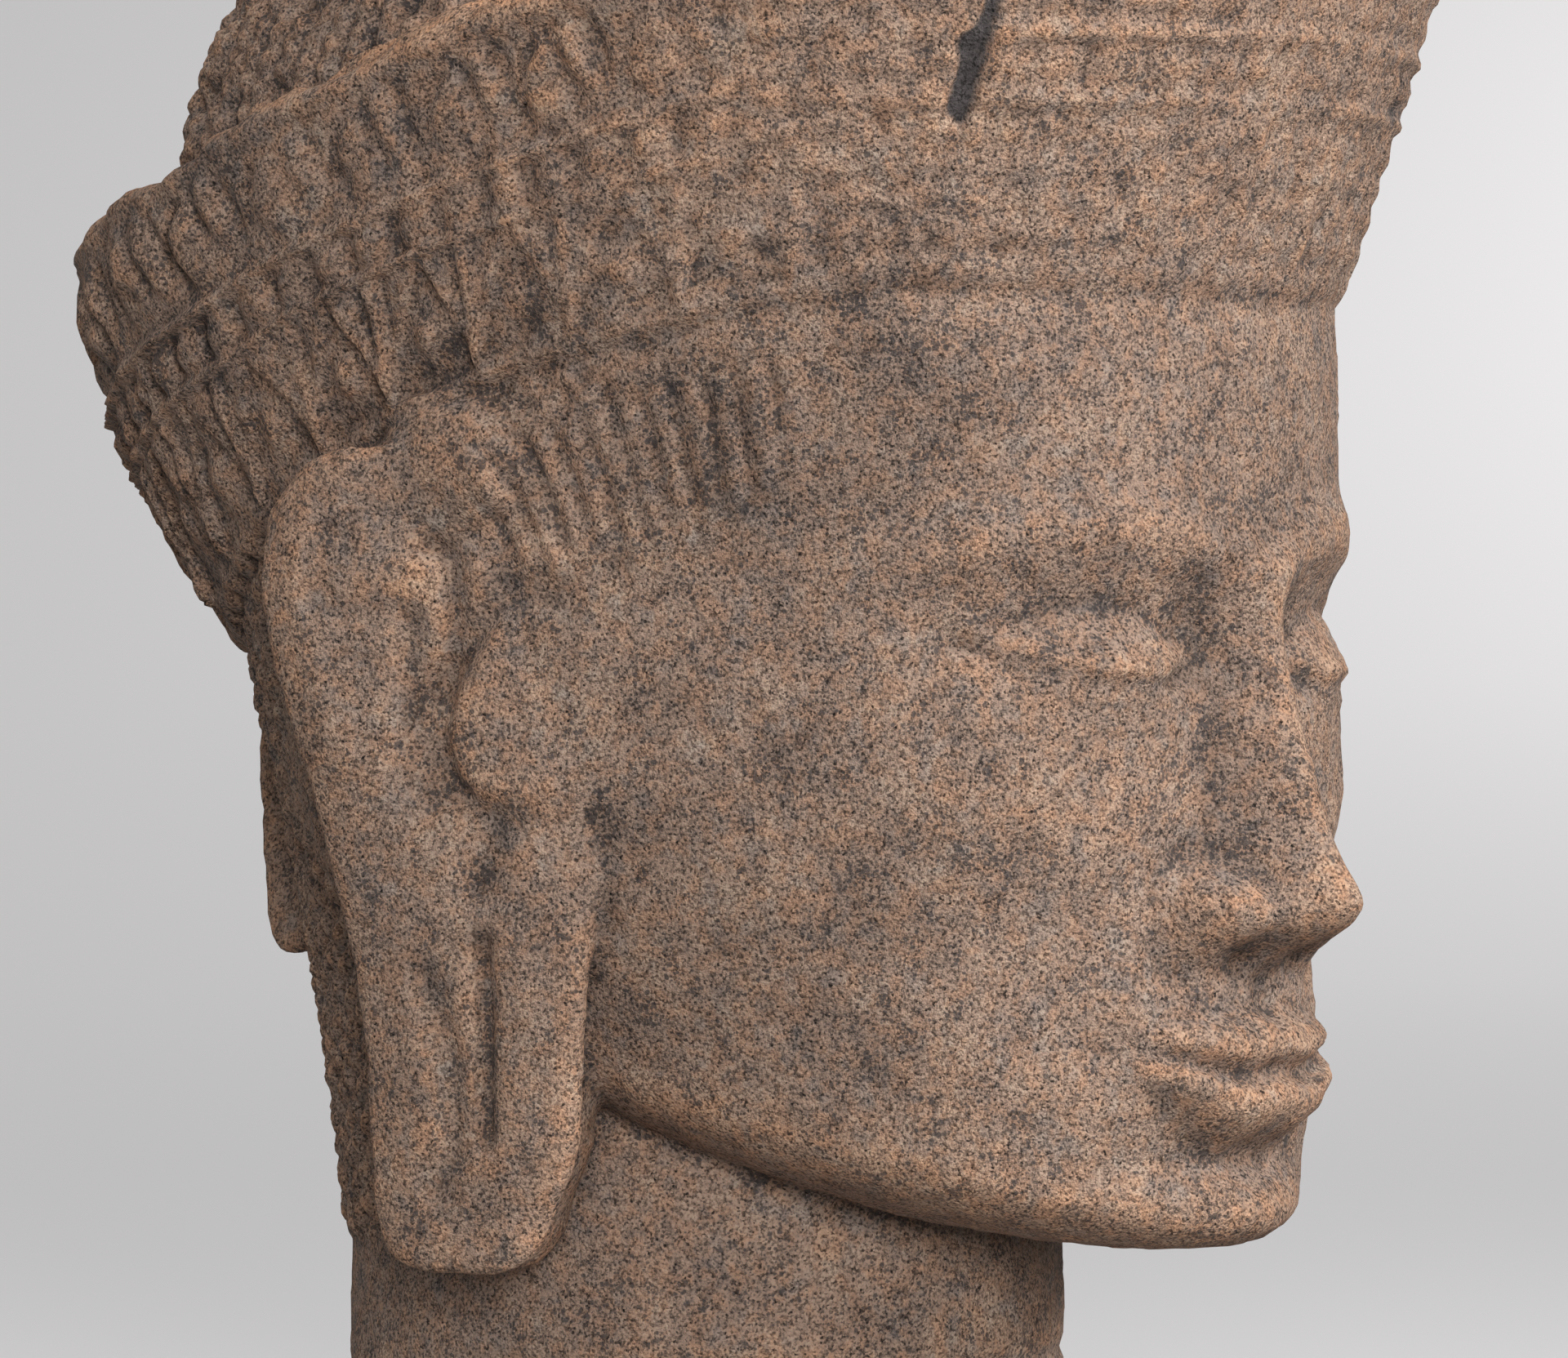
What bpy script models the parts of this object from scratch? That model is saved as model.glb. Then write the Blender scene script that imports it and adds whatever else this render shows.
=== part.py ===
"""Stone head of a crowned deity, carved from one block and cut flat below the neck.

The head faces -Y, +Z is up and the origin is the centre of the flat cut under the neck.
The proportions follow a canon of units: the whole head measures CANON units, and every
length in the carving functions is in those units until a mesh is made from it.
"""

import math

import bmesh
import bpy
import numpy as np

HEIGHT = 0.358  # from the cut of the neck to the tip of the topknot, in metres
CANON = 358.0  # the same height in units of the canon
UNIT = HEIGHT / CANON

# Heights above the cut, in units
CHIN = 55.0
MOUTH = 95.0
NOSE_BASE = 114.0
EYES = 159.0
BROWS = 174.0
CROWN_BASE = 232.0
CROWN_RISE = 80.0
CROWN_TOP = CROWN_BASE + CROWN_RISE

# Distances from the upright axis, in units
SKULL_FORWARD = 7.0  # the skull's own axis stands this far in front of the neck's

# The diadem: heights of its lower and upper rim by degrees from the front
DIADEM_TURN = (0, 38, 65, 78, 97, 120, 150, 180)
DIADEM_LOWER = (217, 217, 208.5, 204, 194, 178, 161, 159)
DIADEM_UPPER = (289, 284, 269, 262, 252, 239, 228.5, 226.5)
DIADEM_WALL = 9.0
DIADEM_PROUD = 1.2

HANGING_LEAF_PITCH = 19.0
UPRIGHT_LEAF_PITCH = 9.4
WORN_FRONT = 0.3  # how much of the ornament's depth is left at the worn front
TEMPLE_LOCK_TURN = 3.35  # degrees from one lock to the next
BRAID_PAIRS = 42  # around the head

# The roughness of the work, in units
CLAY_VOXEL = 1.9
SOFTENING_PASSES = 3
MOST_TRIANGLES = 9800
CUT_DEPTH = 8.0  # the neck is made this much too long and then cut flat


def smooth(value, low, high):
    """0 below low, 1 above high and an even ramp between."""
    t = np.clip((value - low) / (high - low), 0.0, 1.0)
    return t * t * (3.0 - 2.0 * t)


def swell(value, centre, width):
    """A soft bump of height 1 around centre."""
    return np.exp(-(((value - centre) / width) ** 2))


def mound(x, y, centre, widths):
    return np.exp(-(((x - centre[0]) / widths[0]) ** 2) - ((y - centre[1]) / widths[1]) ** 2)


def through(knots, values, at):
    """A smooth curve through the knots, which doesn't overshoot between them."""
    knots = np.asarray(knots, float)
    values = np.asarray(values, float)
    steps = np.diff(knots)
    slopes = np.diff(values) / steps
    tangents = np.zeros_like(values)
    same_way = slopes[:-1] * slopes[1:] > 0
    mean = 2.0 * slopes[:-1] * slopes[1:] / np.where(same_way, slopes[:-1] + slopes[1:], 1.0)
    tangents[1:-1] = np.where(same_way, mean, 0.0)
    tangents[0] = slopes[0]
    tangents[-1] = slopes[-1]
    at = np.clip(at, knots[0], knots[-1])
    i = np.clip(np.searchsorted(knots, at, side="right") - 1, 0, len(steps) - 1)
    t = (at - knots[i]) / steps[i]
    a = (1 + 2 * t) * (1 - t) ** 2 * values[i] + t * t * (3 - 2 * t) * values[i + 1]
    b = t * (1 - t) ** 2 * steps[i] * tangents[i] - t * t * (1 - t) * steps[i] * tangents[i + 1]
    return a + b


def rounded(points, samples=40):
    """A smooth line of samples through a few hand-set points, by chord length."""
    points = np.asarray(points, float)
    along = np.concatenate([[0.0], np.cumsum(np.linalg.norm(np.diff(points, axis=0), axis=1))])
    at = np.linspace(0.0, along[-1], samples)
    return np.stack([through(along, points[:, k], at) for k in range(points.shape[1])], axis=1)


def line_distance(p, q, line):
    """How far the points (p, q) are from a line, and how far along it their nearest point is."""
    best = np.full(p.shape, 1e9)
    along = np.zeros(p.shape)
    starts, ends = line[:-1], line[1:]
    for n, (a, b) in enumerate(zip(starts, ends)):
        run = b - a
        t = np.clip(((p - a[0]) * run[0] + (q - a[1]) * run[1]) / (run @ run + 1e-12), 0.0, 1.0)
        gap = np.hypot(p - a[0] - t * run[0], q - a[1] - t * run[1])
        nearer = gap < best
        best = np.where(nearer, gap, best)
        along = np.where(nearer, (n + t) / len(starts), along)
    return best, along


def grooved(p, q, points, width):
    """1 on a curved line through the points, fading to 0 over its width."""
    gap, _ = line_distance(p, q, rounded(points))
    return np.exp(-((gap / width) ** 2))


def oval_radius(angle, half_width, front, back, squareness):
    """Distance from the axis to an oval whose front and back half differ; angle 0 is the front."""
    depth = np.where(np.cos(angle) > 0, front, back)
    a = (np.abs(np.sin(angle)) / half_width) ** squareness
    b = (np.abs(np.cos(angle)) / depth) ** squareness
    return (a + b) ** (-1.0 / squareness)


# The head form: jaw, face and skull

HEAD_LEVELS = {
    "height": (55, 70, 85, 100, 118, 140, 160, 180, 200, 217, 232),
    "tilt": (0.34, 0.31, 0.26, 0.19, 0.12, 0.05, 0.02, 0.0, 0.0, 0.0, 0.0),
    "half_width": (62, 66, 69, 72, 75, 77.5, 79.5, 81, 82, 82.5, 83.5),
    "front": (99, 102, 103, 104, 104, 104.5, 105, 106, 106, 104.5, 97),
    "back": (50, 53, 56, 60, 64, 68, 72, 79, 86, 90, 89),
}
JAW_CAP = 20.0
JAW_ROUNDNESS = 0.74
TILT_FROM = 96.0  # the level planes of the jaw tilt about this distance in front of the axis


def head_row(angle, level, shrink):
    """The points around the head at one level of the chin's side."""
    at = {k: through(HEAD_LEVELS["height"], HEAD_LEVELS[k], np.array(level)) for k in HEAD_LEVELS}
    front = at["front"] - SKULL_FORWARD
    back = at["back"] + SKULL_FORWARD
    squareness = np.where(np.cos(angle) > 0, 2.2, 2.1)
    radius = shrink * oval_radius(angle, at["half_width"], front, back, squareness)
    x = radius * np.sin(angle)
    y = -SKULL_FORWARD - radius * np.cos(angle)
    z = level + at["tilt"] * (y + TILT_FROM)
    return x, y, z


def head_rows(steps):
    """(level, shrink) of each row: the rounded jaw, the upright face and the dome of the crown."""
    rows = []
    for turn in np.linspace(0.06, 1.0, steps // 5) * math.pi / 2:
        rows.append((CHIN + JAW_CAP * (1 - math.cos(turn)), math.sin(turn) ** JAW_ROUNDNESS))
    for level in np.linspace(CHIN + JAW_CAP, CROWN_BASE, steps)[1:-1]:
        rows.append((level, 1.0))
    for turn in np.linspace(0.0, 0.97, steps // 3) * math.pi / 2:
        rows.append((CROWN_BASE + CROWN_RISE * math.sin(turn), math.cos(turn)))
    return rows


def face_relief(x, z):
    """How far the face stands out of the plain head form, by height and distance from the middle."""
    side = np.abs(x)
    out = -2.4 * mound(side, z, (66, 184), (14, 24))  # temples
    out += 3.6 * mound(side, z, (43, 137), (17, 15))  # cheeks
    out -= 2.0 * mound(side, z, (38, 110), (10, 15))
    out -= 1.2 * mound(side, z, (58, 100), (14, 20))
    out += 4.6 * mound(side, z, (0, 98), (28, 17))  # the full muzzle of the mouth
    # brows: one long soft ridge that dips at the root of the nose
    brow = BROWS - 3 + 8.0 * np.sin(np.pi * np.clip(side / 66.0, 0.0, 1.0))
    out += 2.6 * np.exp(-(((z - brow) / 5.5) ** 2)) * (1 - smooth(side, 48, 70))
    # sockets and eyeballs
    out -= 4.6 * mound(side, z, (31, EYES + 5), (17, 9.5))
    out -= 3.0 * mound(side, z, (14, EYES + 3), (6, 10))
    out += 5.6 * mound(side, z, (32, EYES - 0.5), (14.0, 8.4))
    return out + nose_relief(side, z) + lip_relief(side, z) + chin_relief(side, z) + lid_relief(side, z)


def nose_relief(side, z):
    """A straight ridge, a rounded ball and full wings over a flat underside."""
    heights = (NOSE_BASE - 5, NOSE_BASE - 1.5, NOSE_BASE + 3, NOSE_BASE + 8, 131, 143, 155, 166, 178)
    ridge = through(heights, (0.0, 3.5, 13.5, 16.8, 14.8, 10.8, 6.6, 3.2, 0.6), z)
    breadth = through((112, 120, 132, 146, 160, 172), (11.0, 10.5, 8.4, 7.2, 7.2, 9.0), z)
    out = ridge * np.exp(-((side / breadth) ** 2.2))
    out += 3.4 * mound(side, z, (0, NOSE_BASE + 6.5), (7.5, 5.8))
    out += 9.0 * mound(side, z, (14.5, NOSE_BASE + 5.5), (6.4, 6.2)) * smooth(z, NOSE_BASE - 5.5, NOSE_BASE - 1)
    out -= 1.7 * grooved(side, z, ((16.0, 130), (22.5, 123.5), (22.8, 115), (20.5, 110)), 2.2)
    out -= 1.5 * grooved(side, z, ((8.6, 127), (9.6, 121), (8.6, 115.5)), 1.8)
    out -= 3.2 * mound(side, z, (7.4, NOSE_BASE - 1.5), (3.4, 2.2))
    # groove of the upper lip
    out -= 1.1 * swell(side, 0, 2.8) * smooth(z, 101, 104) * (1 - smooth(z, 109, 112))
    return out


def lip_relief(side, z):
    """Full lips with a faint smile, the lower one rounder."""
    half = 29.0
    t = np.clip(side / half, 0.0, 1.0)
    parting = MOUTH + 0.4 - 1.5 * swell(side, 9, 8) + 3.2 * t**2
    upper = 9.6 * (1 - t**2.2) - 1.5 * swell(side, 0, 3.5) + 1.0
    lower = 12.0 * (1 - t**2.6) + 1.0
    above = (z - parting) / upper
    below = (parting - z) / lower
    fade = (1 - smooth(side, half - 12, half + 1)) ** 0.7
    out = 3.6 * np.sin(np.pi * np.clip(above, 0, 1) ** 0.75) * fade
    out += 4.8 * np.sin(np.pi * np.clip(below, 0, 1) ** 0.75) * fade
    out -= 1.9 * np.exp(-(((z - parting) / 1.7) ** 2)) * (1 - smooth(side, half - 2, half + 4))
    out -= 0.7 * (swell(above, 1.05, 0.16) + swell(below, 1.05, 0.14)) * fade
    out -= 1.5 * mound(side, z, (half + 3.0, MOUTH + 4.2), (3.8, 3.8))
    return out


def chin_relief(side, z):
    out = 6.0 * mound(side, z, (0, CHIN + 12), (18, 13))
    out -= 3.2 * mound(side, z, (0, CHIN + 26), (22, 5.0))
    return out


def lid_relief(side, z):
    """Lowered lids: the lid's edge, the lower lid and the fold above."""
    inner = (16.5, EYES - 2.5)
    outer = (50.5, EYES + 1.8)
    edge = (inner, (25, EYES - 4.2), (34, EYES - 4.2), (43, EYES - 1.8), outer)
    under = (inner, (25, EYES - 7.6), (34, EYES - 8.2), (43, EYES - 5.2), outer)
    fold = ((17.5, EYES + 3.4), (26, EYES + 7.8), (35, EYES + 8.8), (44, EYES + 6.4), (53, EYES + 1.4))
    near = (np.abs(z - EYES) < 18) & (side > 8) & (side < 60)
    out = np.zeros_like(side)
    p, q = side[near], z[near]
    part = -1.6 * grooved(p, q, edge, 1.5)
    part -= 0.7 * grooved(p, q, under, 1.5)
    part -= 1.3 * grooved(p, q, fold, 1.7)
    part += 0.8 * grooved(p, q, [(a, b + 2.6) for a, b in edge], 1.8)
    out[near] = part
    return out


def make_head_form(columns, steps):
    """The head without its neck, ears and diadem, as one loft from the jaw to the dome."""
    angle = np.linspace(-math.pi, math.pi, columns, endpoint=False)
    angle = angle - 0.22 * np.sin(angle)  # closer columns on the face
    rings = []
    for level, shrink in head_rows(steps):
        x, y, z = head_row(angle, level, shrink)
        facing = smooth(np.cos(angle), 0.02, 0.35) * smooth(shrink, 0.5, 0.9)
        out = face_relief(x, z) * facing * (1 - smooth(z, 205, 217))
        turn = smooth(np.abs(x), 30, 66)
        dx, dy = turn * np.sin(angle), -(1 - turn) - turn * np.cos(angle)
        size = np.hypot(dx, dy)
        rings.append(np.stack([x + out * dx / size, y + out * dy / size, z], axis=1))
    return loft("head_form", rings)


def loft(name, rings, closed_rows=False):
    """A closed mesh through rings of points: capped at its ends, or joined end to end."""
    rings = [np.asarray(ring, float) for ring in rings]
    count = len(rings[0])
    points = np.concatenate(rings) * UNIT
    faces = []
    last = len(rings) if closed_rows else len(rings) - 1
    for i in range(last):
        a, b = i * count, (i + 1) % len(rings) * count
        for j in range(count):
            k = (j + 1) % count
            faces.append((a + j, a + k, b + k, b + j))
    if not closed_rows:
        faces.append(tuple(reversed(range(count))))
        faces.append(tuple(range(len(points) - count, len(points))))
    mesh = bpy.data.meshes.new(name)
    mesh.from_pydata(points.tolist(), [], faces)
    return add_object(name, mesh)


def add_object(name, mesh):
    obj = bpy.data.objects.new(name, mesh)
    bpy.context.scene.collection.objects.link(obj)
    return obj


# The neck

NECK_LEVELS = {
    "height": (-CUT_DEPTH, 0, 14, 34, 60, 90, 130),
    "half_width": (60, 60, 58, 56, 56, 57, 58),
    "half_depth": (63, 63, 62, 60, 59, 57, 56),
    "setback": (0, 0, 0, 0, 0, 2, 4),
}
NECK_FOLDS = (22.0, 35.0, 47.0)


def neck_size(level):
    return [through(NECK_LEVELS["height"], NECK_LEVELS[k], level) for k in ("half_width", "half_depth", "setback")]


def make_neck(columns):
    angle = np.linspace(-math.pi, math.pi, columns, endpoint=False)
    rings = []
    for level in np.linspace(-CUT_DEPTH, 128.0, 40):
        width, depth, setback = neck_size(np.array(level))
        radius = oval_radius(angle, width, depth, depth, 2.0)
        x, y = radius * np.sin(angle), setback - radius * np.cos(angle)
        rings.append(np.stack([x, y, np.full_like(x, level)], axis=1))
    return loft("neck_form", rings)


# Hair gathered at the nape, under the diadem

NAPE_LEVELS = {
    "height": (60, 66, 80, 107, 132, 150, 168, 182),
    "half_width": (50, 55, 57, 61, 66, 71, 76, 78),
    "back": (54, 58.5, 60, 63, 67, 70, 74, 79),
}


def make_nape(columns):
    angle = np.linspace(-math.pi, math.pi, columns, endpoint=False)
    rings = []
    for level in np.linspace(NAPE_LEVELS["height"][0], NAPE_LEVELS["height"][-1], 34):
        width = through(NAPE_LEVELS["height"], NAPE_LEVELS["half_width"], np.array(level))
        back = through(NAPE_LEVELS["height"], NAPE_LEVELS["back"], np.array(level))
        radius = oval_radius(angle, width, 12.0, back, 2.1)
        rings.append(
            np.stack([radius * np.sin(angle), -radius * np.cos(angle), np.full_like(angle, level)], axis=1)
        )
    return loft("nape_form", rings)


# The diadem

def diadem_edges(angle):
    """Heights of the lower and the upper rim around the head."""
    turn = np.abs(np.degrees(angle))
    return through(DIADEM_TURN, DIADEM_LOWER, turn), through(DIADEM_TURN, DIADEM_UPPER, turn)


def skull_radius(angle, level):
    """Distance of the plain head form from the skull's axis, above the ears."""
    low = np.minimum(level, CROWN_BASE)
    width = through(HEAD_LEVELS["height"], HEAD_LEVELS["half_width"], low)
    front = through(HEAD_LEVELS["height"], HEAD_LEVELS["front"], low) - SKULL_FORWARD
    back = through(HEAD_LEVELS["height"], HEAD_LEVELS["back"], low) + SKULL_FORWARD
    rise = np.clip((level - CROWN_BASE) / CROWN_RISE, 0.0, 0.999)
    squareness = np.where(np.cos(angle) > 0, 2.2, 2.1)
    return oval_radius(angle, width, front, back, squareness) * np.sqrt(1 - rise**2)


def diadem_radius(angle, share):
    """Distance of the diadem's outer face from the skull's axis; share runs from lower to upper rim."""
    lower, _ = diadem_edges(angle)
    foot = skull_radius(angle, lower) + DIADEM_PROUD
    brim = oval_radius(angle, 96.0, 121.0, 103.5, np.where(np.cos(angle) > 0, 2.3, 2.05))
    behind = smooth(np.abs(np.degrees(angle)), 60, 140)
    belly = through((0.0, 0.4, 0.78, 0.93, 1.0), (0.0, 7.2, 10.0, 6.4, 1.0), share) * behind
    return foot + (brim - foot) * share + belly


def make_diadem(columns, steps):
    """A flaring band that rises at the brow, tied low behind, with a trough inside its upper rim."""
    angle = np.linspace(-math.pi, math.pi, columns, endpoint=False)
    lower, upper = diadem_edges(angle)
    rings = [polar(angle, skull_radius(angle, lower) - 9.0, lower + 1.0)]
    for share in np.linspace(0.0, 1.0, steps):
        rings.append(polar(angle, diadem_radius(angle, share), lower + (upper - lower) * share))
    brim = diadem_radius(angle, 1.0)
    trough = np.maximum(upper - 20.0, CROWN_BASE - 4.0)
    dome = skull_radius(angle, trough)
    rings.append(polar(angle, brim - 0.30 * DIADEM_WALL, upper + 2.0))
    rings.append(polar(angle, brim - 0.75 * DIADEM_WALL, upper + 2.8))
    inner = np.maximum(brim - DIADEM_WALL - 3.0, dome + 0.5)
    rings.append(polar(angle, inner, np.maximum(upper - 5.0, trough)))
    rings.append(polar(angle, (inner + dome) / 2, trough + 1.0))
    rings.append(polar(angle, dome - 8.0, trough))
    return loft("diadem_form", rings, closed_rows=True)


def polar(angle, radius, height):
    return np.stack(
        [radius * np.sin(angle), -SKULL_FORWARD - radius * np.cos(angle), height + 0.0 * angle], axis=1
    )


# The topknot

# Half width and height above the crown's dome
TOPKNOT_PROFILE = ((34, -16), (34.5, -8), (37, -5.5), (37, -1), (33.5, 1), (31.5, 17), (33.5, 19.5),
                   (33.5, 24.5), (29.5, 26.5), (26, 34), (17, 41.5), (8, 45.2), (0, 46))
TOPKNOT_SETBACK = 2.0


def make_topknot(steps):
    """A low lotus bud turned about the upright axis."""
    outline = rounded(list(reversed(TOPKNOT_PROFILE)), 48)
    mesh = bpy.data.meshes.new("topknot_form")
    outline = np.vstack([outline, (0.0, outline[-1][1])]) + (0.0, CROWN_TOP)
    points = [(r * UNIT, 0.0, z * UNIT) for r, z in outline]
    mesh.from_pydata(points, [(i, i + 1) for i in range(len(points) - 1)], [])
    obj = add_object("topknot_form", mesh)
    obj.location.y = TOPKNOT_SETBACK * UNIT
    turn = obj.modifiers.new("turn", "SCREW")
    turn.steps = turn.render_steps = steps
    turn.use_merge_vertices = True
    turn.merge_threshold = 0.00005
    turn.use_normal_calculate = True
    return obj


# The ears

EAR_EDGES = {
    "height": (63, 64.5, 68, 74, 84, 97, 110, 122, 135, 147, 160, 170, 180, 186, 190, 192.5),
    "back_x": (82, 83.5, 84.6, 85.6, 86.4, 87.5, 89, 91, 93, 95.2, 97, 97.8, 97, 95.5, 94, 92),
    "back_y": (-4, 0.5, 3.8, 4.6, 4.8, 4.9, 6, 8, 10.2, 12.8, 15.8, 17.8, 17.8, 15, 10.5, 3.5),
    "front_x": (80, 79.5, 79, 78.3, 78, 78.5, 78.2, 77, 76, 76, 77.5, 82.5, 84.5, 85.3, 86.5, 89.5),
    "front_y": (-16, -19.5, -22.5, -25, -29, -30, -31, -33, -35, -34, -29, -21.5, -18.6, -15.5, -11, -4),
}
EAR_THICKNESS = ((63, 66, 72, 100, 140, 175, 186, 190, 192.5), (3, 6.5, 8.5, 9, 10.5, 11, 9, 6, 3))


def make_ear(side, rows, columns, shrink=0.0, inset=0.0, deeper=0.0):
    """One long ear: a slab between its back and front edge, set out from the head and turned out behind.

    The same slab, shrunk, set in and deeper, is the stone left between the ear and the head.
    """
    heights = EAR_EDGES["height"]
    turn = np.linspace(0, 2 * math.pi, columns, endpoint=False)
    rings = []
    for share in np.linspace(0.0, 1.0, rows):
        level = heights[0] + (heights[-1] - heights[0]) * (0.5 - 0.5 * math.cos(math.pi * share))
        edge = {k: float(through(heights, EAR_EDGES[k], np.array(level))) for k in EAR_EDGES}
        centre = np.array([edge["back_x"] + edge["front_x"], edge["back_y"] + edge["front_y"]]) / 2
        run = np.array([edge["back_x"] - edge["front_x"], edge["back_y"] - edge["front_y"]]) / 2
        half = max(np.hypot(*run) - shrink, 1.0)
        along = run / np.hypot(*run)
        inward = np.array([-along[1], along[0]])
        inward = inward if inward[0] < 0 else -inward
        depth = float(through(*EAR_THICKNESS, np.array(level))) + deeper
        across = half * np.sign(np.cos(turn)) * np.abs(np.cos(turn)) ** 0.8
        deep = depth / 2 * (1 + np.sign(np.sin(turn)) * np.abs(np.sin(turn)) ** 0.7) + inset
        x = centre[0] + across * along[0] + deep * inward[0]
        y = centre[1] + across * along[1] + deep * inward[1]
        rings.append(np.stack([side * x, y, np.full_like(x, level)], axis=1))
    return loft("ear_form", rings)


# The edge of the knob before the ear's opening: points by distance behind the axis and height
EAR_OPENING = ((-20.3, 133.5), (-15.8, 136.6), (-12.6, 141), (-11.1, 146.8), (-11.9, 152.5), (-14.6, 158.8),
               (-17.8, 165), (-20.2, 169.6))

# Carving of the ear: points likewise, then width and depth
EAR_STROKES = (
    (((-0.5, 182.3), (-6.2, 180.8), (-9.5, 177)), 2.2, -0.8),
    (((-9.5, 177), (-12.0, 174), (-12.2, 166), (-11.5, 159), (-9.3, 154.5)), 2.0, -2.4),
    (((-6.3, 165.5), (-5.4, 158), (-5.7, 150.6)), 2.2, -1.4),
    (((-9.0, 157), (-7.0, 148), (-9.0, 138)), 4.5, -1.6),
    (((-18.3, 133.5), (-16.6, 128.4), (-15.4, 124)), 3.2, -1.5),
    (((-15.5, 115.5), (-15.9, 105.5), (-15.6, 95.4), (-15.2, 84.5)), 1.8, -3.4),
    (((-6.2, 110), (-8.7, 101.7), (-10.2, 92.8), (-10.3, 83.9), (-7.2, 76.8)), 2.6, -1.6),
    (((4, 190), (11, 184), (12.5, 174), (10, 160), (6, 145)), 3.0, 0.8),
)
HAIR_OVER_EAR = (81.0, -9.0, 190.0)  # the swell of hair between the ear and the diadem
KNOB_RISE = 2.4
OPENING_DEPTH = 2.6


def ear_opening(y, z):
    """The step at the ear's opening: raised in front of the edge, hollow behind it."""
    edge = np.array(EAR_OPENING)
    gap, _ = line_distance(y, z, rounded(EAR_OPENING))
    in_front = np.interp(z, edge[:, 1], edge[:, 0]) - y
    side = np.where(in_front > 0, 1.0, -1.0)
    ends = smooth(z, edge[0, 1] - 1, edge[0, 1] + 6) * (1 - smooth(z, edge[-1, 1] - 9, edge[-1, 1] + 1))
    step = 0.5 + 0.5 * np.tanh(side * gap / 1.1)
    return ends * (KNOB_RISE * step * np.exp(-gap / 11.0) - OPENING_DEPTH * (1 - step) * np.exp(-gap / 3.2))


def ear_relief(x, y, z):
    """The carving on the ear's outer face: rim, hollows, the shell and the slit of the lobe."""
    near = (np.abs(x) > 70) & (z > 56) & (z < 196) & (y > -60) & (y < 22)
    out = np.zeros_like(x)
    out[near] = ear_opening(y[near], z[near])
    for points, width, depth in EAR_STROKES:
        out[near] += depth * grooved(y[near], z[near], points, width)
    return out


# The knot behind, and the heights between which its tails hang

TAIL_TOP = 160.0
TAIL_FOOT = 111.5


def make_knot():
    """The tie of the diadem: a round knot and two flat tails that spread down the nape."""
    pieces = [ellipsoid("knot_form", (0, 82, 164), (11, 8, 9), 0.0)]
    for side in (-1, 1):
        pieces.append(ellipsoid("bow_form", (side * 15, 78, 167), (13, 8, 7), -0.3 * side))
        pieces.append(tail(side))
    return pieces


def tail(side):
    levels = np.linspace(TAIL_TOP, TAIL_FOOT, 16)
    rings = []
    turn = np.linspace(0, 2 * math.pi, 28, endpoint=False)
    for level in levels:
        share = (TAIL_TOP - level) / (TAIL_TOP - TAIL_FOOT)
        end = math.sqrt(1 - smooth(share, 0.82, 1.06) ** 2)  # rounded at the foot
        half = (7.0 + 6.5 * share) * (0.75 + 0.25 * end)
        centre = side * (6.5 + 11.0 * share)
        back = float(through(NAPE_LEVELS["height"], NAPE_LEVELS["back"], np.array(level)))
        x = centre + half * np.sign(np.cos(turn)) * np.abs(np.cos(turn)) ** 0.5
        thick = 8.5 * np.sign(np.sin(turn)) * np.abs(np.sin(turn)) ** 0.5
        y = back + 4.8 - 4.0 * share - 0.005 * x**2 + thick * (0.5 + 0.5 * end)
        rings.append(np.stack([x, y, np.full_like(x, level)], axis=1))
    return loft("tail_form", rings)


def ellipsoid(name, centre, radii, roll):
    mesh = bpy.data.meshes.new(name)
    build = bmesh.new()
    bmesh.ops.create_uvsphere(build, u_segments=24, v_segments=16, radius=1.0)
    bmesh.ops.scale(build, vec=[r * UNIT for r in radii], verts=build.verts)
    build.to_mesh(mesh)
    build.free()
    obj = add_object(name, mesh)
    obj.location = [c * UNIT for c in centre]
    obj.rotation_euler.y = roll
    return obj


def make_ears(rows, columns):
    """Both ears, each with the stone left behind it."""
    forms = []
    for side in (-1, 1):
        forms.append(make_ear(side, rows, columns))
        forms.append(make_ear(side, rows, columns, shrink=3.0, inset=4.0, deeper=14.0))
        forms.append(ellipsoid("hair_form", (side * HAIR_OVER_EAR[0], *HAIR_OVER_EAR[1:]), (8, 13, 12), 0.0))
    return forms


# Carving over the joined form

def diadem_place(x, y, z):
    """Angle around the head, share of the band's height and how far out of the skull a point is."""
    dy = y + SKULL_FORWARD
    angle = np.arctan2(x, -dy)
    lower, upper = diadem_edges(angle)
    share = (z - lower) / (upper - lower)
    return angle, share, np.hypot(x, dy)


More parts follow.
